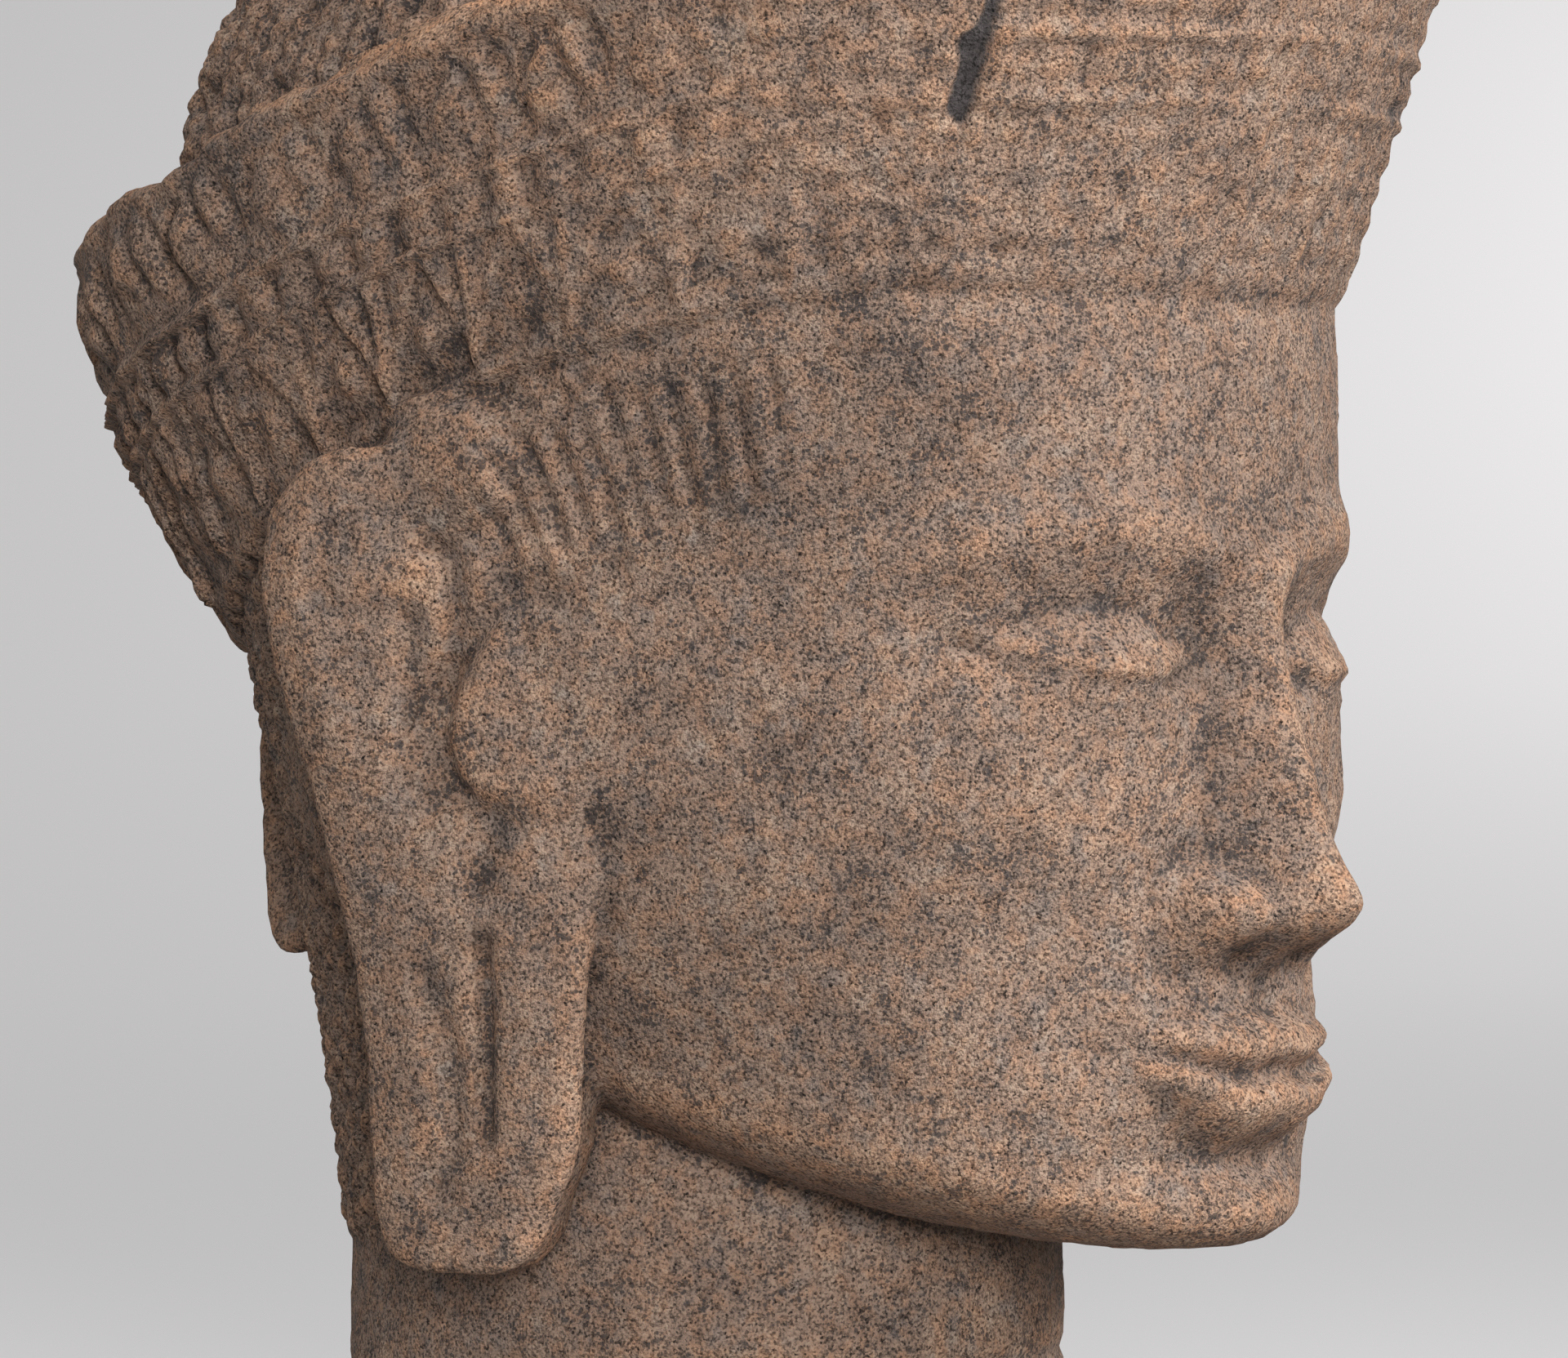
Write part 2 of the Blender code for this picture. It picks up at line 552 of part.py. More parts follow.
def diadem_relief(x, y, z):
    """Rows of ornament: hanging leaves, a bead band, upright leaves and the plain brim."""
    angle, share, radius = diadem_place(x, y, z)
    outer = diadem_radius(angle, np.clip(share, 0.0, 1.0))
    on_band = smooth(share, -0.01, 0.03) * (1 - smooth(share, 0.97, 1.0)) * smooth(radius - outer, -7.0, -4.0)
    turn = np.abs(np.degrees(angle))
    crisp = WORN_FRONT + (1 - WORN_FRONT) * smooth(turn, 48, 80)
    arc = angle * 98.0  # length along the band, in units
    out = 1.1 * smooth(share, 0.385, 0.41) * (1 - smooth(share, 0.55, 0.575))
    out += 0.7 * swell(share, 0.03, 0.022)
    leaf = np.abs((arc / HANGING_LEAF_PITCH) % 1.0 - 0.5) * 2.0
    reach = (share - 0.05) / 0.34
    out += 1.1 * smooth(reach - leaf, 0.0, 0.16) * smooth(share, 0.04, 0.06) * (1 - smooth(share, 0.37, 0.39))
    cell = ((arc / UPRIGHT_LEAF_PITCH) % 1.0 - 0.5) * 2.0
    in_row = smooth(share, 0.565, 0.60) * (1 - smooth(share, 0.85, 0.89))
    out += 1.5 * in_row * (1 - np.abs(cell) ** 3.0)
    out += 0.8 * smooth(share, 0.875, 0.90)
    return out * on_band * crisp


# Distance to the left and to the right of its middle line by height
CRACK_TURN = -35.6
CRACK_HEIGHTS = (240, 243.5, 247, 249.5, 252, 254, 255.5, 259.5, 264, 270, 276, 281, 286, 292)
CRACK_LEFT = (0, -3.0, -2.2, -1.3, -2.0, -2.2, 0.5, 1.8, 1.0, -0.4, 0.8, -1.0, -1.6, -2.0)
CRACK_RIGHT = (0, 1.3, 2.0, 2.5, 3.2, 3.3, 3.6, 4.2, 4.0, 3.4, 4.6, 3.8, 3.6, 3.0)


def crack_mask(x, y, z):
    """1 inside the old break of the diadem, which is filled with a darker stone."""
    angle, share, _ = diadem_place(x, y, z)
    across = (np.degrees(angle) - CRACK_TURN) * math.pi / 180.0 * 112.0
    left = through(CRACK_HEIGHTS, CRACK_LEFT, z)
    right = through(CRACK_HEIGHTS, CRACK_RIGHT, z)
    inside = np.minimum(across - left, right - across)
    return smooth(inside, -0.5, 0.5) * smooth(z, 239.5, 241.5) * (y < -40)


def hair_relief(x, y, z):
    """The braids of the dome and of the nape, drawn in pairs as plain ridges."""
    angle, share, radius = diadem_place(x, y, z)
    inside = diadem_radius(angle, 1.0) - 12.0 - radius
    on_crown = smooth(z, CROWN_BASE + 2, CROWN_BASE + 8) * smooth(inside, -6.0, 0.0) * smooth(share, 0.9, 1.02)
    ridge = np.abs(np.cos(angle * BRAID_PAIRS / 2.0)) - 0.6
    out = 2.2 * ridge * on_crown * (1 - smooth(z, CROWN_TOP - 16, CROWN_TOP - 11))
    angle = np.arctan2(x, -y)
    turn = np.abs(np.degrees(angle))
    lower, _ = diadem_edges(angle)
    on_nape = smooth(turn, 102, 108) * smooth(z, 64, 68) * (1 - smooth(z, lower - 5, lower - 1))
    on_nape = on_nape * ((np.abs(x) > 38) | (z < 109))
    ridge = np.abs(np.cos(angle * BRAID_PAIRS / 2.0)) - 0.6
    return out + 1.8 * ridge * on_nape


def tail_relief(x, y, z):
    """Pleats of the two hanging tails behind."""
    back = through(NAPE_LEVELS["height"], NAPE_LEVELS["back"], z)
    proud = y - back + 0.005 * x**2
    spread = 1.0 + 0.9 * (TAIL_TOP - z) / (TAIL_TOP - TAIL_FOOT)
    on_tails = smooth(proud, 3.0, 5.0) * (np.abs(x) < 36) * (z < 158) * (z > 108)
    return 0.7 * on_tails * np.cos(2 * math.pi * np.abs(x) / (3.6 * spread))


TEMPLE_LEVELS = {
    "turn": (44, 48, 55, 60, 67, 71, 76, 83, 90),
    "locks_top": (206, 205, 202.5, 201, 198, 196.5, 194, 190.5, 187),
    "locks_foot": (188, 186, 183, 180.5, 177, 176, 175, 173.5, 172),
    "hairline": (215, 188, 183, 177, 165, 160, 154, 150, 148),
    "lean": (0.4, 1.0, 1.6, 2.2, 3.2, 3.8, 4.6, 5.4, 5.8),
}


def temple_relief(x, y, z):
    """Combed locks under the diadem, leaning back to the ear, over a curved hairline."""
    turn = np.degrees(np.abs(np.arctan2(x, -(y + SKULL_FORWARD))))
    lower, _ = diadem_edges(np.radians(turn))
    at = {k: through(TEMPLE_LEVELS["turn"], TEMPLE_LEVELS[k], turn) for k in TEMPLE_LEVELS}
    reach = smooth(turn, 46.5, 50.5) * (1 - smooth(turn, 82, 86)) * (np.abs(x) < 90)
    reach = reach * np.where(z < 172, smooth(-y, 29, 34), 1.0)
    on_hair = reach * smooth(z, at["hairline"] - 1.2, at["hairline"] + 1.2) * (1 - smooth(z, lower - 2, lower))
    root = turn + at["lean"] * (at["locks_top"] - z) / 16.0
    lock = np.cos(2 * math.pi * root / TEMPLE_LOCK_TURN)
    foot = at["locks_foot"] - 1.2 * lock
    on_locks = smooth(z, foot - 1.5, foot + 2.0) * (1 - smooth(z, at["locks_top"], at["locks_top"] + 2.0))
    border = smooth(z, at["locks_top"] + 1.0, at["locks_top"] + 3.0)
    return on_hair * (0.7 + on_locks * (0.5 + 1.0 * lock) + 0.9 * border)


def neck_relief(x, y, z):
    """Three soft folds across the throat."""
    out = np.zeros_like(x)
    front = smooth(-y, -10, 20)
    for fold in NECK_FOLDS:
        out -= 0.9 * swell(z, fold, 1.6) * front * (z < CHIN - 2)
    return out


def carve(mesh):
    """Moves each point of the joined form along its normal by the sum of the carving."""
    count = len(mesh.vertices)
    points = np.empty(count * 3, np.float32)
    mesh.vertices.foreach_get("co", points)
    points = points.reshape(-1, 3).astype(float)
    normals = np.empty(count * 3, np.float32)
    mesh.vertices.foreach_get("normal", normals)
    normals = normals.reshape(-1, 3).astype(float)
    x, y, z = (points / UNIT).T
    out = diadem_relief(x, y, z) + hair_relief(x, y, z) + tail_relief(x, y, z)
    out += temple_relief(x, y, z) + neck_relief(x, y, z) - 1.2 * crack_mask(x, y, z)
    out += ear_relief(x, y, z) * smooth(np.sign(x) * normals[:, 0], 0.2, 0.6)
    points += normals * (out * UNIT)[:, None]
    mesh.vertices.foreach_set("co", points.astype(np.float32).ravel())
    mesh.update()


def joined(forms):
    """One closed skin around all the forms, softened."""
    depsgraph = bpy.context.evaluated_depsgraph_get()
    whole = bmesh.new()
    for form in forms:
        part = form.evaluated_get(depsgraph).to_mesh()
        part.transform(form.matrix_world)
        whole.from_mesh(part)
        form.evaluated_get(depsgraph).to_mesh_clear()
    mesh = bpy.data.meshes.new("stone_skin")
    whole.to_mesh(mesh)
    whole.free()
    for form in forms:
        bpy.data.objects.remove(form)
    obj = add_object("vishnu_head", mesh)
    skin = obj.modifiers.new("one skin", "REMESH")
    skin.mode = "VOXEL"
    skin.voxel_size = CLAY_VOXEL * UNIT
    soften = obj.modifiers.new("soften", "SMOOTH")
    soften.factor = 0.5
    soften.iterations = SOFTENING_PASSES
    return obj


def bake_modifiers(obj):
    """Replaces the object's mesh with what its modifiers make of it."""
    depsgraph = bpy.context.evaluated_depsgraph_get()
    mesh = bpy.data.meshes.new_from_object(obj.evaluated_get(depsgraph))
    obj.modifiers.clear()
    obj.data = mesh


def cut_flat(mesh):
    """Cuts the neck off level with the ground and closes the cut."""
    build = bmesh.new()
    build.from_mesh(mesh)
    everything = build.verts[:] + build.edges[:] + build.faces[:]
    cut = bmesh.ops.bisect_plane(
        build, geom=everything, plane_co=(0, 0, 0), plane_no=(0, 0, 1), clear_inner=True
    )
    edges = [e for e in cut["geom_cut"] if isinstance(e, bmesh.types.BMEdge)]
    bmesh.ops.holes_fill(build, edges=edges)
    bmesh.ops.triangulate(build, faces=[f for f in build.faces if len(f.verts) > 4])
    build.to_mesh(mesh)
    build.free()


def stone_material():
    stone = bpy.data.materials.new("weathered sandstone")
    stone.use_nodes = True
    shader = stone.node_tree.nodes["Principled BSDF"]
    shader.inputs["Base Color"].default_value = (0.225, 0.155, 0.115, 1.0)
    shader.inputs["Roughness"].default_value = 0.86
    shader.inputs["Metallic"].default_value = 0.0
    return stone


def main():
    for obj in list(bpy.data.objects):
        bpy.data.objects.remove(obj)
    forms = [make_head_form(260, 120), make_neck(120), make_nape(140), make_diadem(220, 14), make_topknot(48)]
    forms += make_ears(60, 48) + make_knot()
    bpy.context.view_layer.update()
    head = joined(forms)
    bake_modifiers(head)
    carve(head.data)
    thin = head.modifiers.new("fewer faces", "DECIMATE")
    thin.ratio = min(1.0, MOST_TRIANGLES / (2.0 * len(head.data.polygons)))
    bake_modifiers(head)
    cut_flat(head.data)
    head.data.materials.clear()
    head.data.materials.append(stone_material())
    head.data.shade_smooth()


main()
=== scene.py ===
import math

import bmesh
import bpy
import numpy as np
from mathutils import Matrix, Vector


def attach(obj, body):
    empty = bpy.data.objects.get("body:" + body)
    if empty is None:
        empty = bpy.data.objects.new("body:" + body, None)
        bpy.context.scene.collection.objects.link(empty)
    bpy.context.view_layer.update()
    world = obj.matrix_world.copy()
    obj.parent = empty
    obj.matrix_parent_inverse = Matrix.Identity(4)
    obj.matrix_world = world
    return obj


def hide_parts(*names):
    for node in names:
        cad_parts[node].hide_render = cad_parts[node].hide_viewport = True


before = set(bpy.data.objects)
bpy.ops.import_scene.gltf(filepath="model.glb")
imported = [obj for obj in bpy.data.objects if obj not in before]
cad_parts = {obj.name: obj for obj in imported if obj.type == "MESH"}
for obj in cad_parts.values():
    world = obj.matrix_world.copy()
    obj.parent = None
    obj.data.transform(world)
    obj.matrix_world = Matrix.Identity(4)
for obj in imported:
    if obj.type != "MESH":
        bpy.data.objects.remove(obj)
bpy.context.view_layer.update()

print("frame loaded")

# Lengths of the head are in millimetres, and mm turns them into metres. Angles count from the front.
mm = 0.001

stoneMesh = {
    "voxel": 1.02,          # fineness of the first skin over all the forms
    "softening": 2,         # passes that round the skin off
    "triangles": 196000,    # what is left after thinning
}


def ramp(value, low, high):
    # 0 below low, 1 above high, smooth on the way
    t = np.clip((value - low) / (high - low), 0.0, 1.0)
    return t * t * (3.0 - 2.0 * t)


def swell(value, centre, width):
    return np.exp(-(((value - centre) / width) ** 2))


def mound(x, y, centre, widths):
    return np.exp(-(((x - centre[0]) / widths[0]) ** 2) - ((y - centre[1]) / widths[1]) ** 2)


def throughKnots(knots, values, at):
    # smooth curve through the knots that doesn't overshoot between them
    knots = np.asarray(knots, float)
    values = np.asarray(values, float)
    steps = np.diff(knots)
    slopes = np.diff(values) / steps
    tangents = np.zeros_like(values)
    sameWay = slopes[:-1] * slopes[1:] > 0
    mean = 2.0 * slopes[:-1] * slopes[1:] / np.where(sameWay, slopes[:-1] + slopes[1:], 1.0)
    tangents[1:-1] = np.where(sameWay, mean, 0.0)
    tangents[0] = slopes[0]
    tangents[-1] = slopes[-1]
    at = np.clip(at, knots[0], knots[-1])
    i = np.clip(np.searchsorted(knots, at, side="right") - 1, 0, len(steps) - 1)
    t = (at - knots[i]) / steps[i]
    a = (1 + 2 * t) * (1 - t) ** 2 * values[i] + t * t * (3 - 2 * t) * values[i + 1]
    b = t * (1 - t) ** 2 * steps[i] * tangents[i] - t * t * (1 - t) * steps[i] * tangents[i + 1]
    return a + b


def roundedLine(points, samples=40):
    points = np.asarray(points, float)
    along = np.concatenate([[0.0], np.cumsum(np.linalg.norm(np.diff(points, axis=0), axis=1))])
    at = np.linspace(0.0, along[-1], samples)
    return np.stack([throughKnots(along, points[:, k], at) for k in range(points.shape[1])], axis=1)


def lineDistance(p, q, line):
    best = np.full(p.shape, 1e9)
    along = np.zeros(p.shape)
    for n, (a, b) in enumerate(zip(line[:-1], line[1:])):
        run = b - a
        t = np.clip(((p - a[0]) * run[0] + (q - a[1]) * run[1]) / (run @ run + 1e-12), 0.0, 1.0)
        gap = np.hypot(p - a[0] - t * run[0], q - a[1] - t * run[1])
        nearer = gap < best
        best = np.where(nearer, gap, best)
        along = np.where(nearer, (n + t) / (len(line) - 1), along)
    return best, along


def grooved(p, q, points, width):
    # 1 on a rounded line through the points, 0 a little beyond its width
    gap, _ = lineDistance(p, q, roundedLine(points))
    return np.exp(-((gap / width) ** 2))


def taperedGroove(p, q, points, width):
    # the same, running out to nothing at both ends
    gap, along = lineDistance(p, q, roundedLine(points))
    return np.exp(-((gap / width) ** 2)) * np.clip(np.sin(np.pi * np.clip(along, 0.03, 0.97)), 0, 1) ** 0.5


noiseGrid = np.random.default_rng(7).random((41, 41, 41))


def lumps(points, size, seed=0):
    # soft random lumps between -1 and 1, each about size across
    at = points / size + np.array([3.7, 11.3, 5.9]) * (seed + 1)
    cell = np.floor(at).astype(int)
    t = at - cell
    t = t * t * (3 - 2 * t)
    out = np.zeros(len(points))
    for i in (0, 1):
        for j in (0, 1):
            for k in (0, 1):
                corner = noiseGrid[(cell[:, 0] + i) % 41, (cell[:, 1] + j) % 41, (cell[:, 2] + k) % 41]
                weight = (t[:, 0] if i else 1 - t[:, 0]) * (t[:, 1] if j else 1 - t[:, 1])
                out += corner * weight * (t[:, 2] if k else 1 - t[:, 2])
    return 2.0 * out - 1.0


def anyOf(i, j, seed):
    # a fixed random number between 0 and 1 for each cell i, j
    return np.mod(np.sin(i * 127.1 + j * 311.7 + seed * 74.7) * 43758.5453, 1.0)


def ovalRadius(angle, halfWidth, front, back, squareness):
    depth = np.where(np.cos(angle) > 0, front, back)
    a = (np.abs(np.sin(angle)) / halfWidth) ** squareness
    b = (np.abs(np.cos(angle)) / depth) ** squareness
    return (a + b) ** (-1.0 / squareness)


def loftRings(name, rings, endToEnd=False):
    rings = [np.asarray(ring, float) for ring in rings]
    count = len(rings[0])
    points = np.concatenate(rings) * mm
    faces = []
    for i in range(len(rings) if endToEnd else len(rings) - 1):
        a, b = i * count, (i + 1) % len(rings) * count
        for j in range(count):
            k = (j + 1) % count
            faces.append((a + j, a + k, b + k, b + j))
    if not endToEnd:
        faces.append(tuple(reversed(range(count))))
        faces.append(tuple(range(len(points) - count, len(points))))
    mesh = bpy.data.meshes.new(name)
    mesh.from_pydata(points.tolist(), [], faces)
    return addObject(name, mesh)


def addObject(name, mesh):
    obj = bpy.data.objects.new(name, mesh)
    bpy.context.scene.collection.objects.link(obj)
    return obj


# The plain head and its face.
headForm = {
    "forward": 7.0,         # the skull's axis stands this far in front of the neck's
    # heights of the rows, then for each its tilt, half width, front and back
    "height": (55, 70, 85, 100, 118, 140, 160, 180, 200, 217, 232),
    "tilt": (0.34, 0.31, 0.26, 0.19, 0.12, 0.05, 0.02, 0.0, 0.0, 0.0, 0.0),
    "halfWidth": (62, 66, 69, 72, 75, 77.5, 79.5, 81, 82, 82.5, 83.5),
    "front": (99, 102, 103, 104, 104, 104.5, 105, 106, 106, 104.5, 97),
    "back": (50, 53, 56, 60, 64, 68, 72, 79, 86, 90, 89),
    "squareFront": 2.2,     # 2 is an ellipse, more is squarer
    "squareBack": 2.1,
    "chin": 55.0,
    "jawCap": 20.0,         # the jaw rounds off over this height
    "jawRoundness": 0.74,
    "tiltFrom": 96.0,       # distance in front of the neck's axis where tilted rows keep their height
    "crownBase": 232.0,
    "crownRise": 80.0,
}

face = {
    "mouth": 95.0,
    "mouthHalf": 29.0,
    "noseBase": 114.0,
    "eyes": 159.0,
    "brows": 174.0,
}


def headSquareness(angle):
    return np.where(np.cos(angle) > 0, headForm["squareFront"], headForm["squareBack"])


def headRow(angle, level, shrink):
    at = {k: throughKnots(headForm["height"], headForm[k], np.array(level))
          for k in ("tilt", "halfWidth", "front", "back")}
    forward = headForm["forward"]
    front, back = at["front"] - forward, at["back"] + forward
    radius = shrink * ovalRadius(angle, at["halfWidth"], front, back, headSquareness(angle))
    x = radius * np.sin(angle)
    y = -forward - radius * np.cos(angle)
    return x, y, level + at["tilt"] * (y + headForm["tiltFrom"])


def headRows(steps):
    # level and shrink of each row: rounded jaw, upright face, dome of the crown
    chin, cap = headForm["chin"], headForm["jawCap"]
    base, rise = headForm["crownBase"], headForm["crownRise"]
    rows = []
    for turn in np.linspace(0.06, 1.0, steps // 5) * math.pi / 2:
        rows.append((chin + cap * (1 - math.cos(turn)), math.sin(turn) ** headForm["jawRoundness"]))
    for level in np.linspace(chin + cap, base, steps)[1:-1]:
        rows.append((level, 1.0))
    for turn in np.linspace(0.0, 0.97, steps // 3) * math.pi / 2:
        rows.append((base + rise * math.sin(turn), math.cos(turn)))
    return rows


def faceRelief(x, z):
    # how far the face stands out of the plain head, the same on both sides
    side = np.abs(x)
    eyes = face["eyes"]
    out = -2.4 * mound(side, z, (66, 184), (14, 24))      # temples
    out += 3.6 * mound(side, z, (43, 137), (17, 15))      # cheeks
    out -= 2.0 * mound(side, z, (38, 110), (10, 15))
    out -= 1.2 * mound(side, z, (58, 100), (14, 20))
    out += 4.6 * mound(side, z, (0, 98), (28, 17))        # muzzle
    brow = face["brows"] - 3 + 8.0 * np.sin(np.pi * np.clip(side / 66.0, 0.0, 1.0))
    out += 2.6 * np.exp(-(((z - brow) / 5.5) ** 2)) * (1 - ramp(side, 48, 70))
    out -= 4.6 * mound(side, z, (31, eyes + 5), (17, 9.5))
    out -= 3.0 * mound(side, z, (14, eyes + 3), (6, 10))
    out += 5.6 * mound(side, z, (32, eyes - 0.5), (14.0, 8.4))
    return out + noseRelief(side, z) + lipRelief(side, z) + chinRelief(side, z) + lidRelief(side, z)


def noseRelief(side, z):
    base = face["noseBase"]
    heights = (base - 5, base - 1.5, base + 3, base + 8, 131, 143, 155, 166, 178)
    ridge = throughKnots(heights, (0.0, 3.5, 13.5, 16.8, 14.8, 10.8, 6.6, 3.2, 0.6), z)
    breadth = throughKnots((112, 120, 132, 146, 160, 172), (11.0, 10.5, 8.4, 7.2, 7.2, 9.0), z)
    out = ridge * np.exp(-((side / breadth) ** 2.2))
    out += 3.4 * mound(side, z, (0, base + 6.5), (7.5, 5.8))
    out += 9.0 * mound(side, z, (14.5, base + 5.5), (6.4, 6.2)) * ramp(z, base - 5.5, base - 1)
    out -= 1.7 * grooved(side, z, ((16.0, 130), (22.5, 123.5), (22.8, 115), (20.5, 110)), 2.2)
    out -= 1.5 * grooved(side, z, ((8.6, 127), (9.6, 121), (8.6, 115.5)), 1.8)
    out -= 3.2 * mound(side, z, (7.4, base - 1.5), (3.4, 2.2))
    out -= 1.1 * swell(side, 0, 2.8) * ramp(z, 101, 104) * (1 - ramp(z, 109, 112))
    return out


def lipRelief(side, z):
    half, mouth = face["mouthHalf"], face["mouth"]
    t = np.clip(side / half, 0.0, 1.0)
    parting = mouth + 0.4 - 1.5 * swell(side, 9, 8) + 3.2 * t**2
    upper = 9.6 * (1 - t**2.2) - 1.5 * swell(side, 0, 3.5) + 1.0
    lower = 12.0 * (1 - t**2.6) + 1.0
    above = (z - parting) / upper
    below = (parting - z) / lower
    fade = (1 - ramp(side, half - 12, half + 1)) ** 0.7
    out = 3.6 * np.sin(np.pi * np.clip(above, 0, 1) ** 0.75) * fade
    out += 4.8 * np.sin(np.pi * np.clip(below, 0, 1) ** 0.75) * fade
    out -= 1.9 * np.exp(-(((z - parting) / 1.7) ** 2)) * (1 - ramp(side, half - 2, half + 4))
    out -= 0.7 * (swell(above, 1.05, 0.16) + swell(below, 1.05, 0.14)) * fade
    out -= 1.5 * mound(side, z, (half + 3.0, mouth + 4.2), (3.8, 3.8))
    return out


def chinRelief(side, z):
    out = 6.0 * mound(side, z, (0, headForm["chin"] + 12), (18, 13))
    return out - 3.2 * mound(side, z, (0, headForm["chin"] + 26), (22, 5.0))


def lidRelief(side, z):
    eyes = face["eyes"]
    inner, outer = (16.5, eyes - 2.5), (50.5, eyes + 1.8)
    edge = (inner, (25, eyes - 4.2), (34, eyes - 4.2), (43, eyes - 1.8), outer)
    under = (inner, (25, eyes - 7.6), (34, eyes - 8.2), (43, eyes - 5.2), outer)
    fold = ((17.5, eyes + 3.4), (26, eyes + 7.8), (35, eyes + 8.8), (44, eyes + 6.4), (53, eyes + 1.4))
    near = (np.abs(z - eyes) < 18) & (side > 8) & (side < 60)
    out = np.zeros_like(side)
    p, q = side[near], z[near]
    lids = -1.6 * grooved(p, q, edge, 1.5) - 0.7 * grooved(p, q, under, 1.5)
    lids += -1.3 * grooved(p, q, fold, 1.7) + 0.8 * grooved(p, q, [(a, b + 2.6) for a, b in edge], 1.8)
    out[near] = lids
    return out


def makeHead(columns, steps):
    angle = np.linspace(-math.pi, math.pi, columns, endpoint=False)
    angle = angle - 0.22 * np.sin(angle)  # closer columns on the face
    rings = []
    for level, shrink in headRows(steps):
        x, y, z = headRow(angle, level, shrink)
        facing = ramp(np.cos(angle), 0.02, 0.35) * ramp(shrink, 0.5, 0.9)
        out = faceRelief(x, z) * facing * (1 - ramp(z, 205, 217))
        turn = ramp(np.abs(x), 30, 66)  # straight forward in the middle, outward at the sides
        dx, dy = turn * np.sin(angle), -(1 - turn) - turn * np.cos(angle)
        size = np.hypot(dx, dy)
        rings.append(np.stack([x + out * dx / size, y + out * dy / size, z], axis=1))
    return loftRings("headForm", rings)


# The neck, and the hair at the nape.
neck = {
    "height": (-8, 0, 14, 34, 60, 90, 130),     # what is under 0 is cut away for a flat foot
    "halfWidth": (60, 60, 58, 56, 56, 57, 58),
    "halfDepth": (63, 63, 62, 60, 59, 57, 56),
    "setback": (0, 0, 0, 0, 0, 2, 4),
    "top": 128.0,                               # hidden in the head
    "folds": (22.0, 35.0, 47.0),                # their heights
}

napeHair = {
    "height": (60, 66, 80, 107, 132, 150, 168, 182),
    "halfWidth": (50, 55, 57, 61, 66, 71, 76, 78),
    "back": (54, 58.5, 60, 63, 67, 70, 74, 79),
}


def makeNeck(columns):
    angle = np.linspace(-math.pi, math.pi, columns, endpoint=False)
    rings = []
    for level in np.linspace(neck["height"][0], neck["top"], 60):
        width, depth, setback = [throughKnots(neck["height"], neck[k], np.array(level))
                                 for k in ("halfWidth", "halfDepth", "setback")]
        radius = ovalRadius(angle, width, depth, depth, 2.0)
        rings.append(np.stack([radius * np.sin(angle), setback - radius * np.cos(angle),
                               np.full_like(angle, level)], axis=1))
    return loftRings("neckForm", rings)


def napeRadius(angle, z):
    width = throughKnots(napeHair["height"], napeHair["halfWidth"], z)
    back = throughKnots(napeHair["height"], napeHair["back"], z)
    return ovalRadius(angle, width, 12.0, back, 2.1)


def makeNape(columns):
    angle = np.linspace(-math.pi, math.pi, columns, endpoint=False)
    rings = []
    for level in np.linspace(napeHair["height"][0], napeHair["height"][-1], 60):
        radius = napeRadius(angle, np.array(level))
        rings.append(np.stack([radius * np.sin(angle), -radius * np.cos(angle),
                               np.full_like(angle, level)], axis=1))
    return loftRings("napeForm", rings)


# The diadem, and the filled break in it.
diadem = {
    # degrees from the front, then the height of the lower and of the upper edge there
    "turn": (0, 38, 65, 78, 97, 120, 150, 180),
    "lower": (217, 217, 208.5, 204, 194, 178, 161, 159),
    "upper": (289, 284, 269, 262, 252, 239, 228.5, 226.5),
    "brim": (96.0, 121.0, 103.5),   # half width, front and back of the upper edge
    "wall": 9.0,
    "proud": 1.2,           # how far the lower edge stands out of the skull
    "tall": 60.0,           # mean height of the band
    "arcRadius": 98.0,      # turns angles into lengths along the band
    "hangingLeaf": 19.0,    # from one to the next, along the band
    "bead": 8.6,
    "beadRow": 0.478,       # share of the band's height, as in the next two
    "curledFoot": 0.565,
    "curledRise": 0.31,
    "curledLeaf": 18.4,
    "curledTall": 17.0,
    "hollows": (9.6, 9.4),  # from one drilled hollow to the next, along and up
    "wornFront": 0.30,      # how much of the carving is left at the front
}

crackFill = {
    "turn": -35.6,          # degrees from the front
    "radius": 112.0,        # of the diadem there
    # heights, then the break's left and right edge there
    "height": (240, 243.5, 247, 249.5, 252, 254, 255.5, 259.5, 264, 270, 276, 281, 286, 292),
    "left": (0, -3.0, -2.2, -1.3, -2.0, -2.2, 0.5, 1.8, 1.0, -0.4, 0.8, -1.0, -1.6, -2.0),
    "right": (0, 1.3, 2.0, 2.5, 3.2, 3.3, 3.6, 4.2, 4.0, 3.4, 4.6, 3.8, 3.6, 3.0),
    "depth": 1.2,
}


def diademEdges(angle):
    # heights of its lower and upper edge
    turn = np.abs(np.degrees(angle))
    return (throughKnots(diadem["turn"], diadem["lower"], turn),
            throughKnots(diadem["turn"], diadem["upper"], turn))


def skullRadius(angle, level):
    low = np.minimum(level, headForm["crownBase"])
    width = throughKnots(headForm["height"], headForm["halfWidth"], low)
    front = throughKnots(headForm["height"], headForm["front"], low) - headForm["forward"]
    back = throughKnots(headForm["height"], headForm["back"], low) + headForm["forward"]
    rise = np.clip((level - headForm["crownBase"]) / headForm["crownRise"], 0.0, 0.999)
    return ovalRadius(angle, width, front, back, headSquareness(angle)) * np.sqrt(1 - rise**2)


